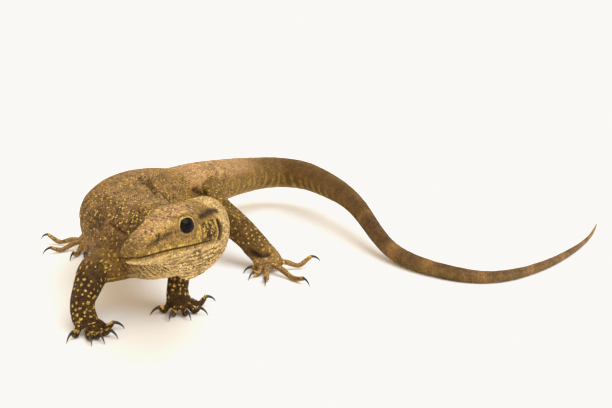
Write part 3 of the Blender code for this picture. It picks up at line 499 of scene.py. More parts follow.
def clawGrid(limb, rows, away):
    # an arc that rises from its root and ends pointing at the floor; oval, tapering, thin at the tip
    knots = knotsOf(rows)
    up, down = footSize["clawUp"], footSize["clawDown"]
    root = through(rows, knots, knots[-1:])[0, :3] + clawHeading(away) * (footSize["clawGap"] - 1.0)
    radius = limb["claw"] / (up + down)
    share = np.linspace(0.0, 1.0, footSize["clawRings"])
    lean = up - share * (up + down)
    forward = radius * (math.sin(up) - np.sin(lean)) + share ** 2 * 0.3
    height = radius * (np.cos(lean) - math.cos(up))
    centre = onOval(root, away, upward, forward, height)
    along = away * np.cos(lean)[:, None] + upward * np.sin(lean)[:, None]
    side = unit(np.cross(away, upward)) + np.zeros_like(along)
    lift = np.cross(side, along)
    taper = (1 - share) ** 0.75 * 0.95 + 0.05
    angle = fullTurn * np.arange(footSize["clawSides"]) / footSize["clawSides"]
    out = (footSize["clawWidth"] * taper)[:, None] * np.cos(angle)
    # the underside is flatter than the back
    rise = np.where(np.sin(angle) > 0, np.sin(angle), 0.8 * np.sin(angle))
    tall = (footSize["clawDepth"] * taper)[:, None] * rise
    grid = centre[:, None] + side[:, None] * out[..., None] + lift[:, None] * tall[..., None]
    grid[..., 2] = np.maximum(grid[..., 2], 0.0)
    return grid


# every tapering form of the body with its region: 1 the spine, 2 to 5 the limbs, 20 and up their toes; 0 is the head
formSize = dict(
    spine=dict(shellSides=96, planSides=80, planStep=1.0, firstRow=3.5, lastRow=1.0, ahead=0.6, reach=1.0),
    limb=dict(shellSides=48, planSides=36, planStep=0.8, firstRow=0.0, lastRow=0.5, ahead=0.6, reach=0.55),
    toe=dict(shellSides=24, planSides=16, planStep=0.6, firstRow=2.0, lastRow=0.2, ahead=0.4, reach=0.5),
)


def formOf(sort, piece, region, point, start, length):
    return dict(formSize[sort], sort=sort, piece=piece, region=region, point=point, start=start, length=length,
                depth=coatDepth[sort])


forms = [formOf("spine", "spine", 1, spinePoint, 2.0, spineLength)]
for number, (name, limb) in enumerate(limbSize.items()):
    forms.append(formOf("limb", name, 2 + number, partial(limbPoint, limb), 0.0, limb["length"]))
    for toe, (rows, away) in enumerate(limb["toes"]):
        region = 20 + number * 5 + toe
        forms.append(formOf("toe", name, region, partial(toePoint, rows, away), 0.0, knotsOf(rows)[-1]))


def sweep(point, at, turn, depth):
    # rings of points at the distances in at, a depth under the form's surface
    rings = point(np.repeat(at, len(turn)), np.tile(turn, len(at)), -depth)
    return rings.reshape(len(at), len(turn), 3)


def gridFaces(count, sides, base=0):
    index = np.arange(count * sides).reshape(count, sides) + base
    here, ahead = index[:-1], index[1:]
    return np.stack([here, np.roll(here, -1, 1), np.roll(ahead, -1, 1), ahead], -1).reshape(-1, 4)


def shellOf(rings):
    # points and faces of rings with a fan over each end
    count, sides = rings.shape[:2]
    middle = np.array([rings[0].mean(0), rings[-1].mean(0)])
    first, last = count * sides, count * sides + 1
    a = np.arange(sides)
    b = np.roll(a, -1)
    end = (count - 1) * sides
    fans = [[first, j, i] for i, j in zip(a, b)] + [[last, i + end, j + end] for i, j in zip(a, b)]
    return np.vstack([rings.reshape(-1, 3), middle]), gridFaces(count, sides).tolist() + fans


def joinShells(shells):
    points, faces, base = [], [], 0
    for some, sides in shells:
        points.append(some)
        faces += [[base + i for i in side] for side in sides]
        base += len(some)
    return np.vstack(points), faces


def inFrame(points):
    return (points - frameOrigin) * millimetre


def placed(name, data):
    thing = bpy.data.objects.new(name, data)
    bpy.context.scene.collection.objects.link(thing)
    return thing


def newObject(name, points, faces, look=None):
    mesh = bpy.data.meshes.new(name)
    mesh.from_pydata(inFrame(points).tolist(), [], faces if isinstance(faces, list) else faces.tolist())
    thing = placed(name, mesh)
    if look is not None:
        mesh.materials.append(look)
    mesh.polygons.foreach_set("use_smooth", np.ones(len(mesh.polygons), bool))
    mesh.update()
    return thing


def appliedMesh(thing):
    bpy.context.view_layer.update()
    made = bpy.data.meshes.new_from_object(thing.evaluated_get(bpy.context.evaluated_depsgraph_get()))
    thing.modifiers.clear()
    thing.data = made


def facedOutward(thing):
    # turns every face outward, and gives the number of open edges
    shape = bmesh.new()
    shape.from_mesh(thing.data)
    openEdges = sum(len(e.link_faces) != 2 for e in shape.edges)
    bmesh.ops.recalc_face_normals(shape, faces=shape.faces[:])
    if shape.calc_volume(signed=True) < 0:
        bmesh.ops.reverse_faces(shape, faces=shape.faces[:])
    shape.to_mesh(thing.data)
    shape.free()
    return openEdges


def pointsOf(mesh):
    points = np.empty(len(mesh.vertices) * 3)
    mesh.vertices.foreach_get("co", points)
    return points.reshape(-1, 3) / millimetre + frameOrigin


def edgesOf(mesh):
    edges = np.empty(len(mesh.edges) * 2, np.int64)
    mesh.edges.foreach_get("vertices", edges)
    return edges.reshape(-1, 2)


def trianglesOf(mesh):
    mesh.calc_loop_triangles()
    faces = np.empty(len(mesh.loop_triangles) * 3, np.int64)
    mesh.loop_triangles.foreach_get("vertices", faces)
    return faces.reshape(-1, 3)


def relax(points, edges, strength, steps):
    # each step moves every point part of the way to the middle of its neighbours
    count = np.bincount(edges.ravel(), minlength=len(points))[:, None]
    for _ in range(steps):
        total = np.empty_like(points)
        for axis in range(3):
            values = points[:, axis]
            total[:, axis] = np.bincount(edges[:, 0], values[edges[:, 1]], len(points))
            total[:, axis] += np.bincount(edges[:, 1], values[edges[:, 0]], len(points))
        points = points + strength[:, None] * (total / count - points)
    return points


def crossOf(corner):
    return np.cross(corner[:, 1] - corner[:, 0], corner[:, 2] - corner[:, 0])


def vertexNormals(points, triangles):
    flat = crossOf(points[triangles])
    normal = np.zeros_like(points)
    for axis in range(3):
        for k in range(3):
            normal[:, axis] += np.bincount(triangles[:, k], flat[:, axis], len(points))
    return unit(normal)


# junction: how far the skin is drawn smooth where limbs and toes grow out; thin: how much fewer faces off the feet
bodySize = dict(
    voxel=0.5, faces=104000, evenSteps=4, junctionSteps=46, junction=0.75, footSteps=7, footJunction=0.6,
    footReach=7.0, fineReach=16.0, fineShare=0.85, tipRings=6, toeRings=26,
)


def bodyShells():
    shells = []
    for form in forms:
        start, length, step = form["start"], form["length"], form["planStep"]
        if form["sort"] == "spine":
            tip = np.linspace(length - 4, length, bodySize["tipRings"])
            at = np.concatenate([np.arange(start, length - 4, step), tip])
        elif form["sort"] == "limb":
            at = np.arange(start, length, step)
        else:
            at = np.linspace(start, length, bodySize["toeRings"])
        sides = form["shellSides"]
        shells.append(shellOf(sweep(form["point"], at, np.arange(sides) / sides, form["depth"])))
    return shells


def nearness(points, places, reaches, most):
    # how near each point is to the nearest of the places, from 0 to 1
    return np.max([smoothStep(most - np.linalg.norm(points - p, axis=1) / r) for p, r in zip(places, reaches)], axis=0)


def fusedBody():
    body = newObject("body_form", *joinShells(bodyShells()))
    fuse = body.modifiers.new("fuse", "REMESH")
    fuse.mode = "VOXEL"
    fuse.voxel_size = bodySize["voxel"] * millimetre
    appliedMesh(body)
    points, edges = pointsOf(body.data), edgesOf(body.data)
    stage(f"body fused, {len(points)} points")
    limbs = list(limbSize.values())
    roots = [0.65 * limb["rows"][0, :3] + 0.35 * limb["rows"][1, :3] for limb in limbs]
    balls = [limb["rows"][-2, :3] for limb in limbs]
    points = relax(points, edges, np.full(len(points), 0.5), bodySize["evenSteps"])
    strength = bodySize["junction"] * nearness(points, roots, [limb["soften"] for limb in limbs], 1.25)
    points = relax(points, edges, strength, bodySize["junctionSteps"])
    strength = bodySize["footJunction"] * nearness(points, balls, [bodySize["footReach"]] * 4, 1.5)
    points = relax(points, edges, strength, bodySize["footSteps"])
    points[:, 2] = np.maximum(points[:, 2], 0.0)
    body.data.vertices.foreach_set("co", inFrame(points).ravel())
    # fewer faces, kept fine on the feet
    keep = body.vertex_groups.new(name="thin")
    weights = 1.0 - bodySize["fineShare"] * nearness(points, balls, [bodySize["fineReach"]] * 4, 1.6)
    weights = np.round(weights, 1)
    for weight in np.unique(weights):
        keep.add(np.flatnonzero(weights == weight).tolist(), float(max(weight, 0.05)), "REPLACE")
    thin = body.modifiers.new("thin", "DECIMATE")
    thin.ratio = bodySize["faces"] / (2.0 * len(body.data.polygons))
    thin.vertex_group = "thin"
    thin.vertex_group_factor = 1.0
    appliedMesh(body)
    body.vertex_groups.clear()
    stage(f"body thinned to {len(body.data.polygons)} faces")
    return body


def cutNeck(body):
    # the front of the neck is cut off square, where the head's grid takes over; gives the open loop in order
    values, along, _, _ = spineFrame(np.array([spineSize["neckCut"]]))
    centre = Vector(inFrame(values[0, :3]))
    shape = bmesh.new()
    shape.from_mesh(body.data)
    near = [v for v in shape.verts if (v.co - centre).length < 0.030]
    chosen = set(near)
    geom = near + [e for e in shape.edges if e.verts[0] in chosen and e.verts[1] in chosen]
    geom += [f for f in shape.faces if all(v in chosen for v in f.verts)]
    bmesh.ops.bisect_plane(shape, geom=geom, plane_co=centre, plane_no=Vector(-along[0]), clear_outer=True, dist=1e-7)
    shape.verts.index_update()
    ends = {}
    for edge in shape.edges:
        if len(edge.link_faces) == 1:
            a, b = edge.verts[0].index, edge.verts[1].index
            ends.setdefault(a, []).append(b)
            ends.setdefault(b, []).append(a)
    start = next(iter(ends))
    loop, last, here = [start], None, start
    while True:
        ahead = [v for v in ends[here] if v != last]
        if not ahead or ahead[0] == start:
            break
        last, here = here, ahead[0]
        loop.append(here)
    shape.to_mesh(body.data)
    shape.free()
    return loop


def zipLoops(points, first, second, centre, side, lift):
    # triangles between two loops, stepping on along the one whose next point comes sooner round the axis
    def angles(loop):
        away = points[loop] - centre
        return np.arctan2(away @ lift, away @ side)

    def ordered(loop):
        loop = np.array(loop)
        angle = np.unwrap(angles(loop))
        if angle[-1] < angle[0]:
            loop, angle = loop[::-1], angle[::-1]
        loop = np.roll(loop, -np.argmin(angle % fullTurn))
        return loop, np.maximum.accumulate(np.unwrap(angles(loop) % fullTurn))

    def ahead(angle, i):
        return angle[(i + 1) % len(angle)] + (fullTurn if i + 1 >= len(angle) else 0)
    a, angleA = ordered(first)
    b, angleB = ordered(second)
    faces, i, j = [], 0, 0
    while i < len(a) or j < len(b):
        here, there = a[i % len(a)], b[j % len(b)]
        if j >= len(b) or (i < len(a) and ahead(angleA, i) <= ahead(angleB, j)):
            faces.append([here, a[(i + 1) % len(a)], there])
            i += 1
        else:
            faces.append([here, b[(j + 1) % len(b)], there])
            j += 1
    return faces


# the head's grid is closer where the extra is: middle, width and how much closer
gridSize = dict(
    turns=224, stations=196, mouth=(0.012, 5.0), eyes=(0.385, 0.115), eyeTurns=(0.055, 1.1),
    eyeAlong=(21.0, 3.8, 1.3), earAlong=(-0.6, 1.6, 0.8), nostrilAlong=(36.0, 1.6, 0.8), tipAlong=(46, 3, 1.2),
)


def denseSteps(low, high, count, dense):
    # places from low to high, closer together where the density is greater
    fine = np.linspace(low, high, 4000)
    total = np.concatenate([[0.0], np.cumsum(0.5 * (dense(fine)[1:] + dense(fine)[:-1]))])
    return np.interp(np.linspace(0.0, total[-1], count), total, fine)


def headTurns():
    def dense(t):
        mouth = np.minimum(np.abs(t - 0.5), np.minimum(t, 1 - t))
        wide, more = gridSize["eyeTurns"]
        left, right = (smoothStep(1.5 - np.abs(t - eye) / wide) for eye in gridSize["eyes"])
        return 1.0 + gridSize["mouth"][1] * bell(mouth, 0.0, gridSize["mouth"][0]) + more * np.maximum(left, right)
    return denseSteps(0.0, 1.0, gridSize["turns"] + 1, dense)[:-1]


def headStations():
    def dense(x):
        eye, ear, nostril, tip = (gridSize[k] for k in ("eyeAlong", "earAlong", "nostrilAlong", "tipAlong"))
        total = 1.0 + eye[2] * smoothStep(1.6 - np.abs(x - eye[0]) / eye[1])
        total = total + ear[2] * bell(x, *ear[:2]) + nostril[2] * bell(x, *nostril[:2])
        return total + tip[2] * rising(x, *tip[:2])
    return denseSteps(-8.0, 50.08, gridSize["stations"], dense)[::-1]


def headGrid():
    # from the snout back, and on down the first of the neck
    turn, x = headTurns(), headStations()
    n = len(turn)
    face = fromHead(headSkin(np.repeat(x, n), np.tile(turn, len(x)))).reshape(len(x), n, 3)
    at = np.arange(0.3, spineSize["neckCut"] - 0.35, 0.45)
    local = toHead(sweep(spinePoint, at, turn, coatDepth["spine"]).reshape(-1, 3))
    normal = unit(local * np.array([0.0, 1.0, 1.0]) - np.array([0.0, 0.0, -3.0]))
    ease = (1 - smoothStep(np.repeat(at, n) / 4.0))[:, None]
    grow = (coatDepth["spine"] - coatDepth["head"]) * ease + 0.30 * throatWrinkles(local)[:, None]
    neck = fromHead(local + normal * grow).reshape(len(at), n, 3)
    return np.concatenate([face, neck]), np.concatenate([-(x - headSize["back"]), at]), turn


# folds of loose skin as lines of points, with depth, width and how dark the painted shade in them is
creases = dict(
    flank=dict(
        line=[[-86.8, -155.5, 51.6], [-84.5, -156.8, 51.4], [-81.0, -159.5, 50.6], [-78.3, -163.8, 49.7],
              [-75.8, -167.8, 48.8], [-73.5, -171.3, 47.8], [-71.1, -174.4, 46.5], [-69.2, -174.3, 44.7],
              [-68.1, -169.1, 42.2]],
        depth=2.2, width=1.2, shade=1.0, shift=(1.3, 1.1, 0)),
    flankBeside=dict(
        line=[[-83.1, -161.6, 51.1], [-79.4, -168.3, 50.2], [-75.9, -174.5, 49.3], [-72.7, -181.8, 48.7],
              [-69.6, -188.6, 48.3]],
        depth=1.2, width=0.7, shade=0.8),
    shoulder=dict(line=[[-86.7, -216.3, 41.9], [-83.2, -220.2, 41.5], [-79.9, -223.7, 40.7]],
                  depth=1.0, width=0.8, shade=0.8),
    ankle=dict(line=[[-29.7, -150.7, 10.0], [-26.4, -153.1, 9.4], [-23.2, -154.3, 9.7], [-20.6, -153.7, 10.1]],
               depth=1.8, width=1.9, shade=1.0),
    hip=dict(line=[[-62.4, -121.1, 37.1], [-59.8, -115.9, 34.8], [-55.8, -121.2, 34.9]],
             depth=1.3, width=1.2, shade=0.75),
)
for fold in creases.values():
    line = np.array(fold["line"], float)
    fine = np.linspace(0, len(line) - 1, 6 * len(line))
    fold["line"] = np.stack([np.interp(fine, np.arange(len(line)), column) for column in line.T], -1)


def toLine(points, line):
    # shortest distance from each point to the legs of the line
    best = np.full(len(points), 1e9)
    for a, b in zip(line[:-1], line[1:]):
        share = np.clip((points - a) @ (b - a) / max((b - a) @ (b - a), 1e-9), 0, 1)
        best = np.minimum(best, np.linalg.norm(points - a - share[:, None] * (b - a), axis=1))
    return best


# wavelengths and heights of the skin's soft waves, and the nape's folds as place, width and depth
waveSize = dict(
    crossLength=3.4, cross=0.20, flankLength=2.7, flank=0.10, fine=0.10, broad=0.12,
    nape=[(6, 1.1, 1.0), (13, 1.2, 0.8), (21, 1.3, 0.6)], napeDepth=0.5,
)


def bodyRelief(points, region, at, turn):
    # skin folds of the flank, nape, chest and joints
    relief = np.zeros(len(points))
    for fold in creases.values():
        d = toLine(points, fold["line"]) / fold["width"]
        relief += fold["depth"] * (-np.exp(-d ** 2) + 0.42 * bell(d, 2.4, 1.1))
    spine = region == 1
    top = np.sin(fullTurn * turn)
    wander = 2.0 * latticeNoise(points, 9.0, 11)
    nape = sum(depth * bell(at + wander, place, width) for place, width, depth in waveSize["nape"])
    relief -= waveSize["napeDepth"] * nape * rising(top, -0.4, 0.5) * spine
    # soft cross folds on the neck's sides and chest, and upright ripples on the lower flank
    cross = np.sin(fullTurn * (at + 1.5 * wander) / waveSize["crossLength"])
    relief += waveSize["cross"] * cross * spine * smoothStep((62 - at) / 14) * smoothStep((0.35 - top) / 0.5)
    ripple = waveSize["flank"] * np.sin(fullTurn * (at + 0.6 * wander) / waveSize["flankLength"]) * spine
    relief += ripple * rising(at, 66, 10) * smoothStep((160 - at) / 14) * smoothStep((0.25 - top) / 0.4)
    fine, broad = latticeNoise(points, 3.1, 12), latticeNoise(points, 7.3, 13)
    relief += waveSize["fine"] * fine + waveSize["broad"] * broad * spine
    return relief * rising(points[:, 2], 0.4, 1.5) * (1 - 0.7 * (region >= 20))


def nearestOf(tree, points):
    # which of the tree's places is nearest to each point, and how far it is
    found = [tree.find(p) for p in points.tolist()]
    return np.array([f[1] for f in found]), np.array([f[2] for f in found])


def treeOf(points):
    tree = KDTree(len(points))
    for i, p in enumerate(points.tolist()):
        tree.insert(p, i)
    tree.balance()
    return tree


def bodyPlan():
    # places all over the forms, each with its region, its distance along the form and its turn round it
    found = []
    for form in forms:
        at, sides = np.arange(form["start"], form["length"], form["planStep"]), form["planSides"]
        a, t = np.repeat(at, sides), np.tile(np.arange(sides) / sides, len(at))
        found.append((form["point"](a, t, -form["depth"]), np.full(len(a), form["region"]), a, t))
    return [np.concatenate(column) for column in zip(*found)]


planPlaces, *plan = bodyPlan()
planTree = treeOf(planPlaces)
stage(f"{len(planPlaces)} places of the body's plan")

body = fusedBody()
loop = cutNeck(body)
bodyPoints = pointsOf(body.data)
bodyTriangles = trianglesOf(body.data)
# each fold is laid on the skin, and where the relief then carries it is kept too, for its shade
bodyTree = treeOf(bodyPoints)
for fold in creases.values():
    fold["on"] = nearestOf(bodyTree, fold["line"])[0]
    fold["line"] = bodyPoints[fold["on"]]
found = nearestOf(planTree, bodyPoints)[0]
bodyRegion, bodyAt, bodyTurn = (column[found] for column in plan)
normal = vertexNormals(bodyPoints, bodyTriangles)
corner = bodyPoints[bodyTriangles]
normal *= 1.0 if np.sum(np.cross(corner[:, 0], corner[:, 1]) * corner[:, 2]) > 0 else -1.0
easeIn = rising(bodyAt, spineSize["neckCut"], 4.0) * (bodyRegion == 1) + (bodyRegion != 1)
bodyPoints = bodyPoints + normal * (bodyRelief(bodyPoints, bodyRegion, bodyAt, bodyTurn) * easeIn)[:, None]
bodyPoints[:, 2] = np.maximum(bodyPoints[:, 2], 0.0)
for fold in creases.values():
    fold["pit"] = bodyPoints[fold["on"]] + np.array(fold.get("shift", (0, 0, 0)))

# the skin: the body, the head's grid, a fan on the snout's tip and a zip round the neck
snoutTip = dict(place=[48.8, 0.0, 0.3], at=-58.1, turn=0.25)
headRings, headAt, headTurnPlaces = headGrid()
count, sides = headRings.shape[:2]
base = len(bodyPoints)
skinPoints = np.vstack([bodyPoints, headRings.reshape(-1, 3), fromHead(np.array(snoutTip["place"]))])
a = np.arange(sides)
tipFan = np.stack([np.full(sides, base + count * sides), base + np.roll(a, -1), base + a], -1)
values, _, sideWay, lift = spineFrame(np.array([spineSize["neckCut"]]))
back = (base + (count - 1) * sides + a).tolist()
zipped = zipLoops(skinPoints, loop, back, values[0, :3], sideWay[0], lift[0])
skinFaces = bodyTriangles.tolist() + gridFaces(count, sides, base).tolist() + tipFan.tolist() + zipped
skinRegion = np.concatenate([bodyRegion, np.zeros(count * sides + 1, int)])
skinAt = np.concatenate([bodyAt, np.repeat(headAt, sides), [snoutTip["at"]]])
skinTurn = np.concatenate([bodyTurn, np.tile(headTurnPlaces, count), [snoutTip["turn"]]])
bpy.data.objects.remove(body, do_unlink=True)
skin = newObject("monitor_skin", skinPoints, skinFaces)
openEdges = facedOutward(skin)
skinTriangles = trianglesOf(skin.data)
skinNormals = vertexNormals(skinPoints, skinTriangles)
stage(f"skin: {len(skinPoints)} points, {len(skinTriangles)} triangles, {openEdges} open edges")

markSize = dict(
    # tail: distances along it of the ochre bands, and their half widths
    bands=[(395.0, 2.8), (436.5, 4.6), (464.0, 4.2), (492.0, 3.4), (522.0, 3.4), (556.0, 3.2), (592.0, 4.0)],
    bodySpot=(0.50, 0.88), bodyRow=3.0, limbSpot=(0.46, 0.74), limbRow=2.55, toeSpot=(0.42, 0.66),
)


def spotField():
    # staggered rows of small spots over neck, trunk and hips, and looser ones on limbs and toes
    draw = np.random.default_rng(41)
    places, radii, strength = [], [], []
    at, row = 4.0, 0
    while at < 300.0:
        around = fullTurn * float(through(spineRows, spineKnots, np.array([at]))[0, 3:6].mean())
        n = max(6, int(around / markSize["bodyRow"]))
        t = (np.arange(n) + 0.5 * (row % 2) + draw.normal(0, 0.24, n)) / n
        a = at + draw.normal(0, 0.75, n)
        keep = draw.random(n) < (0.70 if at < 120 else 0.55)
        places.append(spinePoint(np.clip(a, 0, 320), t, -0.1)[keep])
        r = draw.uniform(*markSize["bodySpot"], n) * (0.85 if at < 40 else 1.0)
        radii.append(r[keep])
        low = until(np.sin(fullTurn * t), 0.75, 0.6)
        fade = np.where(a > 195, 0.50 * low * falling(a, 250, 55), 1 - 0.40 * rising(a, 90, 40))
        strength.append((fade * draw.uniform(0.65, 1.0, n))[keep])
        at += markSize["bodyRow"]
        row += 1
    for number, limb in enumerate(limbSize.values()):
        length, at, row = limb["length"], 6.0, 0
        while at < length - 2:
            n = 12 if at < 0.86 * length else 15
            t = (np.arange(n) + 0.5 * (row % 2) + draw.normal(0, 0.12, n)) / n
            a = at + draw.normal(0, 0.45, n)
            keep = draw.random(n) < 0.90
            places.append(limbPoint(limb, np.clip(a, 0, length), t, -0.1)[keep])
            larger = 1.25 if number > 1 and at > 0.86 * length else 1.0
            radii.append(draw.uniform(*markSize["limbSpot"], n)[keep] * larger)
            strength.append(draw.uniform(0.75, 1.0, n)[keep])
            at += markSize["limbRow"]
            row += 1
        for rows, away in limb["toes"]:
            a = np.arange(1.5, knotsOf(rows)[-1] - 1.5, 1.9)
            t = draw.uniform(0.08, 0.42, len(a))
            places.append(toePoint(rows, away, a, t, -0.1))
            radii.append(draw.uniform(*markSize["toeSpot"], len(a)))
            strength.append(draw.uniform(0.6, 1.0, len(a)))
    return np.vstack(places), np.concatenate(radii), np.concatenate(strength)


spotPlaces, spotRadii, spotStrength = spotField()
spotTree = treeOf(spotPlaces)


# where each mark on the head starts and how far it takes to its full strength, or its middle and width
headZones = dict(
    lips=(5.0, 3.0), throat=(0.6, 1.6), nape=(1.5, 4.0), snoutOlive=(37, 6), lipPlates=(-1.3, 1.15),
    ridgeBack=(22.5, 2), ridgeFront=(42, 4), dashes=(-2.0, 1.35), netBack=(-0.5, 2.0), netFront=(15.5, 2.5),
    netFoot=(-1.8, 1.6), netTop=(5.6, 1.2), netDark=(14.5, 3), patchBack=(-2, 2), patchFront=(9, 4),
    patchHeight=(6.5, 1.0), templeShadowFront=(13.5, 4), templeShadowBack=(-6.0, 2.5), pit=(0.92, 0.30), earRim=(3.0, 0.65),
    earRimTall=(4.6, 1.2), upperLid=(-0.6, 1.2), lidEdge=(1.12, 0.07), lidFurrowShade=(1.28, 0.07),
    lidSecond=(1.44, 0.09), paleLitCrown=(12, 8), thinFront=(22, 12), thinUnder=(12, 4), mouthLineShade=(0.0, 0.34),
)


def headMarks(points):
    # crown, snout, lips, lids, temple streak, netting behind the eye, throat
    local = toHead(points)
    x, y, z = local.T
    side = np.abs(y)
    drop = mouthHeight(x) - z
    shut = rising(x, *headZones["lips"])
    both = np.stack([x, side, z], -1)
    grit = latticeNoise(local, 0.45, 20)
    fine = latticeNoise(local, 0.75, 21)
    middle = 0.6 * latticeNoise(local, 1.25, 22) + 0.7 * grit
    broad = latticeNoise(local, 4.5, 23)
    crown = smoothStep((z - 7.4 + 0.16 * (x - 20)) / 2.6)
    under = rising(drop, *headZones["throat"])
    cheek = (1 - crown) * (1 - under)
    # pinkish tan on the crown, with golden flecks in loose clouds and dark specks between them
    tan = np.clip(crown * (0.92 + 0.26 * middle), 0, 1)
    # the back of the head: light tan of its own, painted paler still as light falling on it
    nape = until(x, *headZones["nape"])
    tan = np.maximum(tan, 0.95 * (1 - under) * nape)
    spot = (1 - under) * 0.50 * rising(middle + 0.55 * broad, 0.22, 0.34) * (0.40 + 0.60 * crown)
    dark = (1 - under) * 0.58 * smoothStep((-fine - 0.12 - 0.35 * broad) / 0.36)
    # cheek and snout's side: olive brown; upper lip yellower
    olive = cheek * (0.50 + 0.35 * middle)
    tan = np.maximum(tan, cheek * (0.42 - 0.25 * middle))
    olive = np.maximum(olive, 0.55 * rising(x, *headZones["snoutOlive"]) * (0.6 + 0.4 * middle) * (1 - under))
    lip = bell(drop, *headZones["lipPlates"]) * shut
    olive = np.maximum(olive, 0.85 * lip)
    dark = dark * (1 - 0.5 * lip)
    spot = np.maximum(spot, 0.48 * lip * rising(fine, -0.15, 0.55))
    # golden line on the ridge from eye to nostril, and dark dashes below it: painted shade under the ridge, broken by
    # noise
    ridge = 8.6 - 0.17 * (x - 24)
    onSnout = rising(x, *headZones["ridgeBack"]) * falling(x, *headZones["ridgeFront"]) * (side > 3)
    spot = np.maximum(spot, 0.55 * onSnout * np.exp(-((z - ridge) / 0.55) ** 2) * rising(middle, -0.45, 0.5))
    dashes = smoothStep((latticeNoise(local * np.array([0.45, 1, 1]), 0.9, 24) + 0.10) / 0.35)
    dark = np.maximum(dark, 0.85 * onSnout * bell(z - ridge, *headZones["dashes"]) * dashes)
    # netting of yellow on dark between eye and ear
    net = rising(x, *headZones["netBack"]) * falling(x, *headZones["netFront"]) * rising(z, *headZones["netFoot"])
    net = net * falling(z, *headZones["netTop"]) * (side > 5)
    spot = np.where(net > 0.3, net * 0.80 * rising(middle, 0.06, 0.20), spot)
    dark = np.where(net > 0.3, net * 0.90 * rising(-middle, -0.16, 0.25) * until(x, *headZones["netDark"]), dark)
    # mustard patch over it, under a dark band of painted shade from the crown's edge that runs back from the eye over
    # the temple
    patch = rising(x, *headZones["patchBack"]) * falling(x, *headZones["patchFront"])
    patch = patch * bell(z, *headZones["patchHeight"]) * (side > 6)
    spot = np.maximum(spot, 0.42 * patch * rising(middle, -0.3, 0.4))
    dark = np.maximum(dark, 0.22 * patch)
    line = 8.0 - 0.10 * np.maximum(2 - x, 0) + 0.25 * broad
    wide = np.where(z > line, 1.0, 1.65 + 0.3 * middle)
    templeShadow = np.exp(-((z - line) / wide) ** 2) * until(x, *headZones["templeShadowFront"])
    templeShadow = templeShadow * rising(x, *headZones["templeShadowBack"]) * (side > 5)
    dark = np.maximum(dark, 1.2 * templeShadow * (0.92 + 0.15 * grit))
    spot = spot * (1 - 0.9 * templeShadow)
    # grey blotch at the snout's tip
    tip = swell(both, np.array([47.5, 1.0, 2.2]), (1.8, 2.2, 1.6))
    dark = np.maximum(dark, 0.70 * tip)
    spot = spot * (1 - tip)
    # painted shade in the nostril and ear openings, and a pale rim in front of the ear
    for word, opening in openings.items():
        dx, dz, inside = openingView(both, opening)
        pit = falling(inside, *headZones["pit"]) * (side > 2)
        dark = np.maximum(dark, pit)
        tan, spot, olive = tan * (1 - pit), spot * (1 - pit), olive * (1 - pit)
        if word == "ear":
            pale = bell(dx, *headZones["earRim"]) * until(np.abs(dz), *headZones["earRimTall"]) * (side > 6)
            spot = np.maximum(spot, 0.85 * pale)
            dark = dark * (1 - 0.8 * pale)
    # lids: a pale rim, painted shade in the furrow over it, a second pale line, and black painted inside the opening
    # as shade between lid and eyeball
    rims = np.zeros_like(x)
    for way in (1.0, -1.0):
        _, ratio, over, up, out = eyeView(local, way)
        facing = out > 0
        upper = rising(up, *headZones["upperLid"])
        near = 1.0 if way > 0 else 0.5
        rim = near * bell(ratio, *headZones["lidEdge"]) * facing * (0.10 + 0.90 * upper)
        furrow = near * bell(ratio, *headZones["lidFurrowShade"]) * facing * upper
        second = near * bell(ratio, *headZones["lidSecond"]) * facing * upper * (over > -1.5)
        lidArea = (ratio < 1.62) * facing
        dark = np.where(lidArea, dark * 0.3, dark)
        olive = np.where(lidArea, 0.45, olive)
        tan = np.where(lidArea, 0.55, tan)
        spot = np.where(lidArea, np.maximum(0.85 * rim, 0.40 * second), spot)
        rims = np.maximum(rims, 0.9 * rim)
        # painted shade in the lid's furrow, and black inside the opening as shade between lid and eyeball
        dark = np.maximum(dark, furrow * 0.9)
        dark = np.maximum(dark, (ratio < 1.06) * facing * 1.0)
        below = (1 - upper) * (ratio > 1.2) * lidArea
        dark = np.maximum(dark, 0.45 * below * (0.5 - 0.5 * np.cos(fullTurn * (ratio - 1.14) / 0.20)))
    # throat: straw, with painted shade in the furrows that run along it, and broken brown dashes of its own between
    # them
    ahead = 0.94 * x - 0.34 * z
    across = 0.34 * x + 0.94 * z
    dash = latticeNoise(np.stack([0.22 * ahead, 0.8 * y, across], -1), 0.95, 25) + 0.20 * grit
    # painted shade in the troughs of the throat's folds
    furrow = smoothStep((-throatWrinkles(local) - 0.10 + 0.25 * grit) / 0.30)
    # the pale back of the head and crown is partly painted light
    pale = np.maximum(under * (0.98 + 0.06 * broad), 0.80 * nape + 0.28 * crown * until(x, *headZones["paleLitCrown"]))
    pale = np.maximum(pale, rims)
    thick = 0.80 - 0.40 * rising(x, *headZones["thinFront"]) - 0.15 * rising(drop, *headZones["thinUnder"])
    lines = np.maximum(furrow, 0.75 * rising(dash, 0.14, 0.20))
    dark = np.where(under > 0.2, under * thick * lines, dark)
    # painted shade along the closed mouth's line between the lips
    dark = np.maximum(dark, bell(drop, *headZones["mouthLineShade"]) * shut * 0.95)
    spot = spot * (1 - 0.8 * under)
    return np.stack([spot, dark, pale, tan, olive, np.zeros_like(x)], -1)


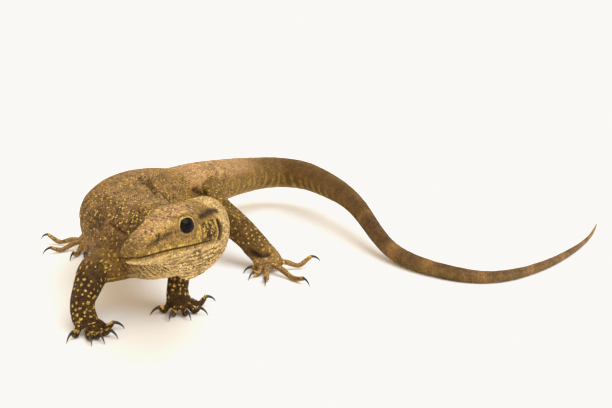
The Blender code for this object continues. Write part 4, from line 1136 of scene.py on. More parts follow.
# the same for the body, along the spine, round it (1 at the top) and along the limbs
bodyZones = dict(
    spot=(0.80, 0.45), spotEdge=(1.55, 0.38), tailward=(195, 45), front=(70, 70), frontShadeSide=(0.98, 0.6),
    shoulders=(100, 30), saddleFrom=(140, 35), saddleSide=(0.05, 0.55), saddleTo=(222, 40),
    oliveSide=(0.5, 0.6), lighter=(125, 30), chest=(57, 11), neckShadeTo=(70, 10), neckShadeFrom=(26, 8),
    neckShadeSide=(0.05, 0.3), flankFrom=(62, 10), flankTo=(165, 14), flankSide=(0.30, 0.4), flankFoot=(-0.15, 0.3),
    barsFrom=(185, 25), barsTo=(345, 40), lowSide=(0.35, 0.6), tailDark=(235, 35), tailBack=(240, 40),
    tailDarker=(352, 60), tailTan=(395, 50), tailTip=(600, 12), hindDark=(0.35, 0.3), footPale=(0.82, 0.12),
    frontDark=(0.32, 0.34), limbRoot=(4, 16.0), limbOlive=(0.5, 0.4), nail=(1.7, 0.5), nailTop=(0.25, 0.3),
    toePale=(0.35, 0.4),
)
limbLengths = np.array([form["length"] for form in forms if form["sort"] == "limb"])
toeLengths = np.array([form["length"] for form in forms if form["sort"] == "toe"])


def bodyMarks(points, region, at, turn):
    # spots with dark edges on brown; straw below; olive and mustard bars, then ochre bands, on the tail
    which, far = nearestOf(spotTree, points)
    far = far / spotRadii[which]
    spine = region == 1
    limb = (region >= 2) & (region < 20)
    toe = region >= 20
    top = np.sin(fullTurn * turn)
    fine = latticeNoise(points, 1.5, 31)
    grit = latticeNoise(points, 0.8, 30)
    middle = 0.75 * latticeNoise(points, 4.0, 32) + 0.45 * grit
    broad, wander = latticeNoise(points, 14.0, 33), latticeNoise(points, 9.0, 11)
    spot = falling(far, *bodyZones["spot"]) * spotStrength[which]
    edge = bell(far, *bodyZones["spotEdge"]) * spotStrength[which]
    tailward = rising(at, *bodyZones["tailward"])
    dark = np.where(spine, 0.25 + 0.50 * middle + 0.50 * edge * (1 - tailward), 0.0)
    # the neck, shoulders and flank next the head are darkest, with painted shade in the pocket between head and
    # shoulder; the back and hips are lighter
    front = spine * falling(at, *bodyZones["front"]) * until(top, *bodyZones["frontShadeSide"])
    dark = dark + 0.20 * front * rising(top, -0.3, 0.5) + 0.10 * spine * until(at, *bodyZones["shoulders"])
    tan = np.where(spine, 0.12 + 0.22 * broad * rising(top, -0.1, 0.6) + 0.25 * rising(top, 0.86, 0.1), 0.0)
    saddle = spine * 0.85 * rising(at, *bodyZones["saddleFrom"]) * rising(top, *bodyZones["saddleSide"])
    tan = np.maximum(tan, saddle * (1 - 0.85 * rising(at, *bodyZones["saddleTo"])))
    olive = np.where(spine, 0.10 + 0.42 * tailward * until(top, *bodyZones["oliveSide"]), 0.0)
    dark = dark - 0.18 * spine * rising(at, *bodyZones["lighter"])
    # straw belly and chest
    pale = spine * smoothStep((-top - 0.60 + 0.10 * middle) / 0.25) * (0.85 - 0.35 * tailward)
    chest = spine * until(at, *bodyZones["chest"]) * smoothStep((-top - 0.50 + 0.10 * middle) / 0.18)
    pale = np.maximum(pale, 0.95 * chest)
    wrinkle = np.sin(fullTurn * (at + 3.0 * wander) / 2.6)
    furrow = pale * 0.85 * smoothStep((-wrinkle - 0.10 + 0.3 * grit) / 0.35) * smoothStep((0.97 + top) / 0.15) * spine
    dark = dark * (1 - 0.88 * pale) + furrow
    # dark net under the neck: brown netting of its own over painted shade in the pocket under the head
    net = spine * until(at, *bodyZones["neckShadeTo"]) * rising(at, *bodyZones["neckShadeFrom"])
    net = net * rising(-top, *bodyZones["neckShadeSide"]) * (1 - pale)
    dark = np.maximum(dark, net * (0.40 + 0.42 * rising(-fine, -0.1, 0.3)))
    # upright lines on the lower flank
    ripple = np.sin(fullTurn * (at + 1.2 * wander) / 2.7)
    flank = spine * rising(at, *bodyZones["flankFrom"]) * until(at, *bodyZones["flankTo"])
    flank = flank * until(top, *bodyZones["flankSide"])
    dark = dark - 0.15 * flank + 0.24 * flank * rising(-ripple, 0.1, 0.5)
    olive = np.maximum(olive, 0.55 * flank * rising(ripple, 0.1, 0.5))
    spot = spot * (1 - 0.75 * flank * until(top, *bodyZones["flankFoot"])) * (1 - 0.6 * pale)
    # tail: faint upright mustard bars, then dark with ochre bands
    bars = smoothStep((np.sin(fullTurn * (at + 1.2 * fine) / 9.0) + 0.05) / 0.7)
    barred = spine * rising(at, *bodyZones["barsFrom"]) * falling(at, *bodyZones["barsTo"])
    band = np.zeros_like(at)
    lowSide = until(top, *bodyZones["lowSide"])
    spot = np.maximum(spot, 0.36 * barred * bars * lowSide * rising(middle, -0.45, 0.5))
    tailDark = 0.18 + 0.22 * rising(at, *bodyZones["tailDark"]) + 0.14 * middle + 0.12 * barred * (1 - bars) * lowSide
    tailDark = tailDark + 0.16 * rising(top, 0.1, 0.5) * rising(at, *bodyZones["tailBack"])
    dark = np.where(spine & (at > 215), tailDark, dark)
    dark = dark + spine * 0.20 * rising(at, *bodyZones["tailDarker"])
    tan = np.maximum(tan, 0.65 * spine * rising(at, *bodyZones["tailTan"]))
    for place, half in markSize["bands"]:
        ring = np.exp(-((at - place + 0.9 * fine) / half) ** 2) * spine
        faint = 0.95 if 420 < place < 450 else 0.65
        band = np.maximum(band, faint * ring)
        dark = dark * (1 - 0.8 * faint * ring)
    last = spine * rising(at, *bodyZones["tailTip"])
    band = np.maximum(band, 0.8 * last)
    dark = dark * (1 - 0.6 * last)
    # limbs: dark brown, darker still on the feet, paler on the inner side
    number = np.where(limb, region - 2, np.where(toe, (region - 20) // 5, 0))
    share = np.where(limb, at / limbLengths[number], 1.0)
    hind = number >= 2
    hindDark = 0.30 + 0.26 * rising(share, *bodyZones["hindDark"]) - 0.30 * rising(share, *bodyZones["footPale"])
    frontDark = 0.18 + 0.76 * rising(share, *bodyZones["frontDark"])
    dark = np.where(limb | toe, np.where(hind, hindDark, frontDark) + 0.20 * middle + 0.30 * edge, dark)
    root = limb * falling(at, *bodyZones["limbRoot"])
    limbOlive = np.where(hind, 0.40, 0.30) * (1 - 0.5 * rising(share, *bodyZones["limbOlive"])) * (1 - 0.8 * root)
    olive = np.where(limb | toe, limbOlive, olive)
    inner = np.maximum(rising(share, *bodyZones["footPale"]), root)
    tan = np.where(limb | toe, 0.10 + 0.12 * broad + 0.5 * hind * inner, tan)
    pale = np.where(toe, 0.75 * rising(-top, *bodyZones["toePale"]), pale)
    # one pale yellow scale over each claw
    fromEnd = np.where(toe, toeLengths[np.clip(region - 20, 0, 19)] - at, 9.0)
    nail = until(fromEnd, *bodyZones["nail"]) * rising(top, *bodyZones["nailTop"])
    spot, dark = np.maximum(spot, 1.2 * nail), dark * (1 - nail)
    pale = np.maximum(pale, 0.4 * nail)
    dark = dark * (1 - 0.45 * root)
    # painted shade in each fold's crease, laid where the relief carried the fold
    for fold in creases.values():
        furrow = np.exp(-(toLine(points, fold["pit"]) / (1.5 * fold["width"])) ** 2)
        dark = np.maximum(dark, fold["shade"] * furrow)
        spot, pale = spot * (1 - furrow), pale * (1 - furrow)
    return np.stack([spot, dark, pale, tan, olive, band], -1)


def marksOf(points, region, at, turn):
    inBody = bodyMarks(points, np.where(region == 0, 1, region), np.where(region == 0, 0.0, at), turn)
    inHead = headMarks(points)
    x = toHead(points)[:, 0]
    share = np.where(region == 0, 1.0, np.where((region == 1) & (at < 20), 1 - rising(at, -1.0, 13.0), 0.0))
    share = np.where((region == 0) & (x < -4), 1 - 0.35 * until(x, -4, 6), share)
    return np.clip(inHead * share[:, None] + inBody * (1 - share[:, None]), 0.0, 1.0)


def putMarks(mesh, marks, tone, rim):
    # six masks in two colour layers, tone and rim in a third
    more = np.stack([0.5 + 0.5 * tone, rim, np.zeros_like(rim)], -1)
    for name, columns in (("marksOne", marks[:, :3]), ("marksTwo", marks[:, 3:]), ("toneAndRim", more)):
        layer = mesh.attributes.new(name, "FLOAT_COLOR", "POINT")
        layer.data.foreach_set("color", np.hstack([columns, np.ones((len(columns), 1))]).astype(np.float32).ravel())


lookColours = {
    "Ground": tint(146, 107, 53), "Dark": tint(50, 31, 15), "Gold": tint(216, 176, 82), "Straw": tint(240, 202, 134),
    "Tan": tint(201, 157, 106), "Olive": tint(148, 118, 50), "Ochre": tint(166, 122, 64),
}
layerLabels = {
    "marksOne": ("Spot", "Dark Mask", "Pale"), "marksTwo": ("Tan Mask", "Olive Mask", "Band"),
    "toneAndRim": ("Tone", "Rim"),
}


def groupOf(name, inputs, outputs):
    made = bpy.data.node_groups.new(name, "ShaderNodeTree")
    for label, kind, value in inputs:
        made.interface.new_socket(name=label, in_out="INPUT", socket_type=kind).default_value = value
    for label, kind in outputs:
        made.interface.new_socket(name=label, in_out="OUTPUT", socket_type=kind)
    return made, made.nodes.new("NodeGroupInput").outputs, made.nodes.new("NodeGroupOutput").inputs


def wire(tree, socket, value):
    # a number or colour is set, another node's output is linked
    if isinstance(value, (int, float, tuple)):
        socket.default_value = value
    else:
        tree.links.new(value, socket)


def calc(tree, kind, *values, clamp=False):
    node = tree.nodes.new("ShaderNodeMath")
    node.operation = kind
    node.use_clamp = clamp
    for socket, value in zip(node.inputs, values):
        wire(tree, socket, value)
    return node.outputs[0]


def blendOf(tree, share, first, second):
    node = tree.nodes.new("ShaderNodeMix")
    node.data_type = "RGBA"
    node.blend_type = "MIX"
    node.clamp_factor = True
    for label, value in (("Factor", share), ("A", first), ("B", second)):
        wire(tree, node.inputs[label], value)
    return node.outputs["Result"]


def noiseOf(tree, scale, detail):
    node = tree.nodes.new("ShaderNodeTexNoise")
    place = tree.nodes.new("ShaderNodeTexCoord").outputs["Object"]
    for label, value in (("Scale", scale), ("Detail", detail), ("Vector", place)):
        wire(tree, node.inputs[label], value)
    return node.outputs["Fac"]


def markingsGroup():
    # the masks lay the colours over one another; tone and rim make each scale its own and darken the gaps
    masks = layerLabels["marksOne"] + layerLabels["marksTwo"]
    inputs = [(label, "NodeSocketFloat", 0.0) for label in masks]
    inputs += [("Tone", "NodeSocketFloat", 0.5), ("Rim", "NodeSocketFloat", 0.0)]
    inputs += [(label, "NodeSocketColor", colour) for label, colour in lookColours.items()]
    inputs += [("Tone Strength", "NodeSocketFloat", 0.35), ("Gap Darkness", "NodeSocketFloat", 0.6)]
    outputs = [("Colour", "NodeSocketColor"), ("Roughness", "NodeSocketFloat")]
    tree, take, out = groupOf("hideMarkings", inputs, outputs)
    colour = take["Ground"]
    for mask, over in (("Tan Mask", "Tan"), ("Olive Mask", "Olive"), ("Pale", "Straw"), ("Band", "Ochre")):
        colour = blendOf(tree, take[mask], colour, take[over])
    cloud = calc(tree, "MULTIPLY_ADD", noiseOf(tree, 260.0, 4.0), 0.5, -0.25)
    darkness = calc(tree, "ADD", take["Dark Mask"], cloud, clamp=True)
    colour = blendOf(tree, calc(tree, "MULTIPLY", darkness, 0.92), colour, take["Dark"])
    colour = blendOf(tree, take["Spot"], colour, take["Gold"])
    # each scale a little lighter or darker than its neighbour, and finer mottling inside it
    own = calc(tree, "SUBTRACT", take["Tone"], 0.5)
    lightness = calc(tree, "MULTIPLY_ADD", own, take["Tone Strength"], 1.0)
    mottle = calc(tree, "MULTIPLY_ADD", noiseOf(tree, 1500.0, 3.0), 0.36, 0.82)
    lightness = calc(tree, "MULTIPLY", lightness, mottle)
    gap = calc(tree, "MULTIPLY", take["Rim"], take["Gap Darkness"])
    lightness = calc(tree, "MULTIPLY", lightness, calc(tree, "SUBTRACT", 1.0, gap))
    scaled = tree.nodes.new("ShaderNodeVectorMath")
    scaled.operation = "SCALE"
    wire(tree, scaled.inputs[0], colour)
    wire(tree, scaled.inputs["Scale"], lightness)
    wire(tree, out["Colour"], scaled.outputs[0])
    rough = calc(tree, "MULTIPLY_ADD", take["Rim"], 0.22, 0.46)
    fine = calc(tree, "MULTIPLY", noiseOf(tree, 700.0, 2.0), 0.12)
    wire(tree, out["Roughness"], calc(tree, "ADD", rough, fine))
    return tree


def grainGroup():
    # height of fine pits and creases: cells for the grain, noise for the creases
    inputs = [("Cell Size", "NodeSocketFloat", 900.0), ("Crease Share", "NodeSocketFloat", 0.5)]
    tree, take, out = groupOf("fineGrain", inputs, [("Height", "NodeSocketFloat")])
    cells = tree.nodes.new("ShaderNodeTexVoronoi")
    cells.feature = "DISTANCE_TO_EDGE"
    wire(tree, cells.inputs["Vector"], tree.nodes.new("ShaderNodeTexCoord").outputs["Object"])
    wire(tree, cells.inputs["Scale"], take["Cell Size"])
    edge = calc(tree, "MINIMUM", calc(tree, "MULTIPLY", cells.outputs["Distance"], 4.0), 1.0)
    high = calc(tree, "MULTIPLY", noiseOf(tree, 420.0, 5.0), take["Crease Share"])
    wire(tree, out["Height"], calc(tree, "ADD", edge, high))
    return tree


markings = markingsGroup()
grain = grainGroup()


def hideMaterial(name, cellSize, bump, toneStrength, gapDarkness):
    look = bpy.data.materials.new(name)
    look.use_nodes = True
    tree = look.node_tree
    shader = tree.nodes["Principled BSDF"]
    shader.inputs["Specular IOR Level"].default_value = 0.14
    shader.inputs["Subsurface Weight"].default_value = 0.0
    marks = tree.nodes.new("ShaderNodeGroup")
    marks.node_tree = markings
    marks.inputs["Tone Strength"].default_value = toneStrength
    marks.inputs["Gap Darkness"].default_value = gapDarkness
    for layer, labels in layerLabels.items():
        read = tree.nodes.new("ShaderNodeAttribute")
        read.attribute_name = layer
        split = tree.nodes.new("ShaderNodeSeparateColor")
        wire(tree, split.inputs[0], read.outputs["Color"])
        for label, output in zip(labels, split.outputs):
            wire(tree, marks.inputs[label], output)
    wire(tree, shader.inputs["Base Color"], marks.outputs["Colour"])
    wire(tree, shader.inputs["Roughness"], marks.outputs["Roughness"])
    pits = tree.nodes.new("ShaderNodeGroup")
    pits.node_tree = grain
    pits.inputs["Cell Size"].default_value = cellSize
    raised = tree.nodes.new("ShaderNodeBump")
    for label, value in (("Strength", bump), ("Distance", 0.0002), ("Height", pits.outputs["Height"])):
        wire(tree, raised.inputs[label], value)
    wire(tree, shader.inputs["Normal"], raised.outputs["Normal"])
    return look


hideLook = hideMaterial("monitorHide", 1500.0, 0.55, 0.0, 0.30)
scaleLook = hideMaterial("monitorScales", 3800.0, 0.20, 1.15, 0.62)

skinMarks = marksOf(skinPoints, skinRegion, skinAt, skinTurn)
putMarks(skin.data, skinMarks, np.zeros(len(skinPoints)), np.full(len(skinPoints), 0.75))
skin.data.materials.append(hideLook)
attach(skin, "root")
fleshNodes = ["head", "neck", "torso", "hips", "tail_base", "tail_middle", "tail_end", "tail_tip"]
for sideWord in ("left", "right"):
    fleshNodes += [f"{word}_{sideWord}" for word in ("upper_arm", "forearm", "hand", "thigh", "shin", "foot")]
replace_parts(skin, *fleshNodes)
stage("skin marked")

skinBvh = BVHTree.FromPolygons([tuple(p) for p in skinPoints.tolist()], skinTriangles.tolist())


def onSkin(points, reach):
    # nearest place on the skin and its normal; False where the skin is farther than reach
    places, normals, good = np.zeros_like(points), np.zeros_like(points), np.zeros(len(points), bool)
    faces = np.zeros(len(points), int)
    for i, p in enumerate(points.tolist()):
        hit, normal, face, distance = skinBvh.find_nearest(p)
        if hit is not None and distance < reach:
            places[i], normals[i], faces[i], good[i] = hit, normal, face, True
    smooth = unit(skinNormals[skinTriangles[faces]].mean(axis=1))
    flip = np.sign(np.sum(smooth * normals, axis=1, keepdims=True))
    return places, smooth * np.where(flip == 0, 1, flip), good, faces


def scaleShape(sides, square, dome):
    # a low dome on an oval foot: foot ring, shoulder ring, crown point and a point under it; x runs with the lie
    angle = (np.arange(sides) + 0.5) * fullTurn / sides
    c, s = np.cos(angle), np.sin(angle)
    x, y = np.sign(c) * np.abs(c) ** square, np.sign(s) * np.abs(s) ** square
    foot = np.stack([x, y, np.full(sides, -0.75)], -1)
    shoulder = np.stack([x * 0.80 + 0.05, y * 0.80, np.full(sides, dome)], -1)
    points = np.vstack([foot, shoulder, [[0.12, 0, 1.0]], [[0, 0, -1.0]]])
    i = np.arange(sides)
    j = np.roll(i, -1)
    crown, below = np.full(sides, 2 * sides), np.full(sides, 2 * sides + 1)
    corners = ((i, j, j + sides), (i, j + sides, i + sides), (i + sides, j + sides, crown), (j, i, below))
    rim = np.concatenate([np.full(sides, 1.0), np.full(sides, 0.28), [0.0, 1.0]])
    return points, np.vstack([np.stack(three, -1) for three in corners]), rim


scaleForms = dict(
    body=scaleShape(6, 1.0, 0.62), tail=scaleShape(8, 0.72, 0.58), head=scaleShape(7, 0.95, 0.74),
    plate=scaleShape(8, 0.70, 0.80),
)


def scalePiece(name, form, scales, mapPlaces, tilt=0.16, longer=1.04):
    # every scale is the form stretched to its own size, stood on its root with x along the lie of the coat
    shape, faces, rim = scaleForms[form]
    normals, region, at = scales["normal"], scales["region"], scales["at"]
    n, k = len(normals), len(shape)
    lie = unit(scales["lie"] - normals * np.sum(scales["lie"] * normals, axis=1, keepdims=True))
    across = np.cross(normals, lie)
    x = shape[None, :, 0] * (0.5 * (scales["long"] * longer))[:, None]
    y = shape[None, :, 1] * (0.5 * scales["wide"])[:, None]
    z = shape[None, :, 2] * scales["high"][:, None] + tilt * x * (shape[None, :, 2] > 0)
    points = scales["root"][:, None] + lie[:, None] * x[..., None] + across[:, None] * y[..., None]
    points = (points + normals[:, None] * z[..., None]).reshape(-1, 3)
    points[:, 2] = np.maximum(points[:, 2], 0.0)
    allFaces = (faces[None] + (np.arange(n) * k)[:, None, None]).reshape(-1, 3)
    mesh = bpy.data.meshes.new(name)
    mesh.vertices.add(n * k)
    mesh.vertices.foreach_set("co", inFrame(points).astype(np.float32).ravel())
    mesh.loops.add(len(allFaces) * 3)
    mesh.loops.foreach_set("vertex_index", allFaces.astype(np.int32).ravel())
    mesh.polygons.add(len(allFaces))
    mesh.polygons.foreach_set("loop_start", np.arange(0, len(allFaces) * 3, 3, dtype=np.int32))
    mesh.update(calc_edges=True)
    mesh.polygons.foreach_set("use_smooth", np.ones(len(allFaces), bool))
    quiet = np.where(region == 0, 1.35, np.where((region == 1) & (at > 215), 0.60, 1.1))
    tone = np.clip(np.random.default_rng(n).normal(0, 0.42, n) * quiet, -1, 1)
    marks = marksOf(scales["root"], region, at, scales["turn"])
    putMarks(mesh, np.repeat(marks, k, axis=0), np.repeat(tone, k), np.tile(rim, n))
    # the map for baking: each scale is a small patch at its root's place
    patch = np.clip(mapPlaces[:, None] + (shape[:, :2] * 0.0015)[None], 0, 1).reshape(-1, 2)
    layer = mesh.uv_layers.new(name="OFBake")
    layer.data.foreach_set("uv", patch[allFaces.ravel()].astype(np.float32).ravel())
    mesh.materials.append(scaleLook)
    thing = placed(name, mesh)
    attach(thing, "root")
    stage(f"{name}: {n} scales, {len(allFaces)} triangles")


# length along, width across and height of the scales: over distance on the spine, over share of the length on a limb
spinePlaces, limbPlaces = [0, 20, 60, 120, 180, 230, 300, 420, 520, 600, 640], [0, 0.4, 0.8, 1]
coatSize = dict(
    spine=[(spinePlaces, [0.85, 0.95, 1.10, 1.22, 1.25, 1.35, 1.5, 1.45, 1.25, 1.0, 0.8]),
           (spinePlaces, [0.80, 0.90, 1.02, 1.12, 1.12, 1.12, 1.1, 0.95, 0.8, 0.6, 0.45]),
           ([0, 20, 60, 180, 300, 420, 600], [0.17, 0.20, 0.24, 0.25, 0.20, 0.16, 0.10])],
    limb=[(limbPlaces, [1.10, 1.10, 0.95, 0.85]), (limbPlaces, [1.02, 1.0, 0.88, 0.8]),
          ([0, 0.5, 1], [0.24, 0.23, 0.18])],
    toe=[([0, 1], [size, size]) for size in (0.80, 0.82, 0.16)],
)


# rows of scales: samples of an outline, fewest scales round it, scatter of place, row step, and spread of the sizes
rowSize = dict(samples=181, fewest=5, aside=0.05, ahead=0.04, step=0.93, long=(0.94, 1.08), wide=(0.94, 1.06),
               high=(0.8, 1.2), facing=0.35)


def rowPlaces(form, draw):
    # rings of places, each ring shifted by half a scale from the last, spaced evenly round the true outline
    rings = []
    at, row = form["firstRow"], 0
    samples = rowSize["samples"]
    fine = np.arange(samples) / (samples - 1)
    while at < form["length"] - form["lastRow"]:
        share = at / form["length"] if form["sort"] == "limb" else at
        long, wide, high = (float(np.interp(share, *table)) for table in coatSize[form["sort"]])
        ring = form["point"](np.full(samples, at), fine)
        walk = knotsOf(ring)
        n = max(rowSize["fewest"], int(round(walk[-1] / wide)))
        steps = (np.arange(n) + 0.5 * (row % 2) + draw.normal(0, rowSize["aside"], n)) % n / n
        turns = np.interp(steps * walk[-1], walk, fine)
        ats = at + draw.normal(0, rowSize["ahead"], n) * long
        longs = np.full(n, long) * draw.uniform(*rowSize["long"], n)
        wides = np.full(n, walk[-1] / n) * draw.uniform(*rowSize["wide"], n)
        rings.append((ats, turns, longs, wides, np.full(n, high) * draw.uniform(*rowSize["high"], n)))
        at += long * rowSize["step"]
        row += 1
    return (np.concatenate(column) for column in zip(*rings))


def gathered(parts):
    return {key: np.concatenate([p[key] for p in parts]) for key in parts[0]}


def picked(scales, pick):
    return {key: value[pick] for key, value in scales.items()}


coat = []
draw = np.random.default_rng(7)
for form in forms:
    a, t, long, wide, high = rowPlaces(form, draw)
    if form["sort"] == "toe":
        # broad cross plates on the toe's back
        back = np.sin(fullTurn * t) > 0.25
        wide, long = np.where(back, wide * 1.25, wide), np.where(back, long * 1.12, long)
    pointAt, depth = form["point"], form["depth"]
    points = pointAt(a, t, -depth)
    ahead = pointAt(np.minimum(a + form["ahead"], form["length"]), t, -depth)
    places, normals, good, _ = onSkin(points, form["reach"])
    # the skin must face the way the plan's surface does there
    good &= np.sum(normals * unit(pointAt(a, t, 0.6) - points), axis=1) > rowSize["facing"]
    coat.append(picked(dict(
        kind=np.full(len(a), form["piece"]), root=places, normal=normals, lie=ahead - points,
        region=np.full(len(a), form["region"]), at=a, turn=t, long=long, wide=wide, high=high), good))
stage(f"{sum(len(c['root']) for c in coat)} scales in rows")


def facePlaces(chance, draw, keep):
    # random places on the skin's triangles, more where they are larger
    corner = skinPoints[skinTriangles]
    area = 0.5 * np.linalg.norm(crossOf(corner), axis=1) * keep
    n = int(area.sum() * chance)
    face = draw.choice(len(area), n, p=area / area.sum())
    u, v = draw.random(n), draw.random(n)
    u, v = np.where(u + v > 1, 1 - u, u), np.where(u + v > 1, 1 - v, v)
    first, second, third = (corner[face, i] for i in range(3))
    return first + (second - first) * u[:, None] + (third - first) * v[:, None], face


def spaced(places, spacing, taken=np.zeros((0, 3)), takenSpacing=np.zeros(0)):
    # each place in turn is kept if none kept before it is nearer than their spacing; cubes find the near ones
    cell = float(spacing.max())
    cubes, kept = {}, []
    for p, r in zip(taken.tolist(), takenSpacing.tolist()):
        cubes.setdefault(tuple(int(v // cell) for v in p), []).append((*p, r))
    around = [(i, j, k) for i in (-1, 0, 1) for j in (-1, 0, 1) for k in (-1, 0, 1)]

    def isClear(p, key, r):
        for i, j, k in around:
            for x, y, z, other in cubes.get((key[0] + i, key[1] + j, key[2] + k), ()):
                gap = 0.5 * (r + other)
                if (p[0] - x) ** 2 + (p[1] - y) ** 2 + (p[2] - z) ** 2 < gap * gap:
                    return False
        return True
    keys = np.floor(places / cell).astype(int)
    for n, (p, key, r) in enumerate(zip(places.tolist(), keys.tolist(), spacing.tolist())):
        if isClear(p, key, r):
            cubes.setdefault(tuple(key), []).append((*p, r))
            kept.append(n)
    return np.array(kept, int)


# scattered scales: places tried on each square millimetre, how bare the skin must be there, and how close they stand,
# both for a scale's width, and their size
fillSize = dict(bodyTries=5.0, bare=0.80, bodyGap=0.95, bodyScale=0.98, tailFrom=260, headTries=26.0, headGap=0.93,
                headLong=1.06, headWide=0.98, headHigh=0.23, neckTo=12, neckGap=0.7)

# where limbs grow out, the rows leave bare skin, which is filled with scattered scales
rowed = gathered(coat)
triangleRegion, triangleAt = skinRegion[skinTriangles[:, 0]], skinAt[skinTriangles[:, 0]]
isBody = (triangleRegion > 0) & ~((triangleRegion == 1) & (triangleAt > fillSize["tailFrom"]))
places, face = facePlaces(fillSize["bodyTries"], draw, isBody)
like, far = nearestOf(treeOf(rowed["root"]), places)
bare = far > fillSize["bare"] * rowed["wide"][like]
places, face, like = places[bare], face[bare], like[bare]
chosen = spaced(places, rowed["wide"][like] * fillSize["bodyGap"])
places, face, like = places[chosen], face[chosen], like[chosen]
corner = skinTriangles[face]
near = picked(rowed, like)
near.update(
    root=places, normal=unit(skinNormals[corner].mean(axis=1)), region=skinRegion[corner[:, 0]],
    at=skinAt[corner[:, 0]], turn=skinTurn[corner[:, 0]],
    long=near["long"] * fillSize["bodyScale"], wide=near["wide"] * fillSize["bodyScale"])
everywhere = gathered(coat + [near])
stage(f"{len(places)} more scales between the rows")


def headScaleSize(local):
    # spacing of the head's scales by place: plates on the crown, grains on lids, temple and throat
    x, z = local[:, 0], local[:, 2]
    drop = mouthHeight(x) - z
    crown = smoothStep((z - 7.6 + 0.16 * (x - 20)) / 2.0)
    size = 0.66 + 0.30 * crown * rising(x, 2, 8)
    size = np.where(drop > 1.2, 0.70 + 0.10 * rising(drop, 3, 6), size)
    size = size + 0.22 * rising(x, 34, 8) * (drop < 0.5)
    size = np.where((x < 0) & (drop < 0.5), 0.72, size)
    for way in (1.0, -1.0):
        _, ratio, _, _, out = eyeView(local, way)
        size = np.where((ratio < 1.7) & (out > 0), 0.40, size)
    return size


def headRows():
    # lip plates in a row each side of the mouth line, and wide plates over the eyes: places, length, width, height
    rows = []
    for side in (1.0, -1.0):
        x = np.arange(7.6, 47.2, 1.12)
        y = side * np.interp(x, headSize["rows"][:, 0], headSize["rows"][:, 1])
        for up, wide in ((0.92, 1.25), (-0.85, 1.0)):
            rows.append((np.stack([x, y, mouthHeight(x) + up], -1), 1.10, wide, 0.17))
        x = np.linspace(13.6, 27.0, 8)
        y = side * (5.0 - 0.5 * np.abs(x - 20) / 7 - 0.07 * (x - 13))
        rows.append((np.stack([x, y, np.full(len(x), 14.0)], -1), 1.75, 2.1, 0.22))
    return rows


rootList, sizeList = [], []
for guess, long, wide, high in headRows():
    isOver = guess[0, 2] > 12
    guess = fromHead(guess)
    if isOver:
        # plates over the eyes drop straight down on the crown
        down = tuple(-headTurn[:, 2])
        guess = np.array([list(skinBvh.ray_cast(p, down)[0]) for p in guess.tolist()])
    rootList.append(onSkin(guess, 4.0)[0])
    sizeList.append(np.tile([long, wide, high, min(long, wide)], (len(guess), 1)))
plateRoots = np.vstack(rootList)
plateLong, plateWide, plateHigh, plateSize = np.vstack(sizeList).T
isHead = (triangleRegion == 0) | ((triangleRegion == 1) & (triangleAt < 4.5))
places, _ = facePlaces(fillSize["headTries"], draw, isHead)
local = toHead(places)
size = headScaleSize(local)
x, side, z = local[:, 0], np.abs(local[:, 1]), local[:, 2]
# no scales on the lip plates' rows, the eyes, the nostrils and the ears
clear = ~((x > 6.8) & (np.abs(z - mouthHeight(x)) < 1.35) & (side > 0.5) & (x < 49))
for way in (1.0, -1.0):
    _, ratio, _, _, out = eyeView(local, way)
    clear &= ~((ratio < 1.10) & (out > 0))
for opening in openings.values():
    clear &= ~((openingView(np.stack([x, side, z], -1), opening)[2] < 1.05) & (side > 2))
neckTaken = everywhere["root"][(everywhere["region"] == 1) & (everywhere["at"] < fillSize["neckTo"])]
places, size = places[clear], size[clear]
takenSpacing = np.concatenate([plateSize, np.full(len(neckTaken), fillSize["neckGap"])])
chosen = spaced(places, size * fillSize["headGap"], np.vstack([plateRoots, neckTaken]), takenSpacing)
size = size[chosen]
headRoots = np.vstack([plateRoots, places[chosen]])
_, headNormals, _, headFaces = onSkin(headRoots, 2.0)
corner = skinTriangles[headFaces]
head = dict(
    root=headRoots, normal=headNormals, lie=np.tile(-headTurn[:, 0], (len(headRoots), 1)),
    long=np.concatenate([plateLong, size * fillSize["headLong"]]),
    wide=np.concatenate([plateWide, size * fillSize["headWide"]]),
    high=np.concatenate([plateHigh, fillSize["headHigh"] * size / 0.7]), region=np.zeros(len(headRoots), int),
    at=skinAt[corner[:, 0]], turn=skinTurn[corner[:, 0]],
)
isPlate = np.arange(len(headRoots)) < len(plateRoots)
headLocal = toHead(headRoots)
isThroat = (mouthHeight(headLocal[:, 0]) - headLocal[:, 2]) > 0.0
headMap = np.stack([0.02 + 0.96 * np.clip((head["at"] + 58.1) / 66.0, 0, 1), 0.02 + 0.96 * head["turn"]], -1)
for name, form, pick in (("head_plates", "plate", isPlate), ("crown_scales", "head", ~isPlate & ~isThroat),
                         ("throat_scales", "head", ~isPlate & isThroat)):
    scalePiece(name, form, picked(head, pick), headMap[pick], tilt=0.05, longer=1.0)

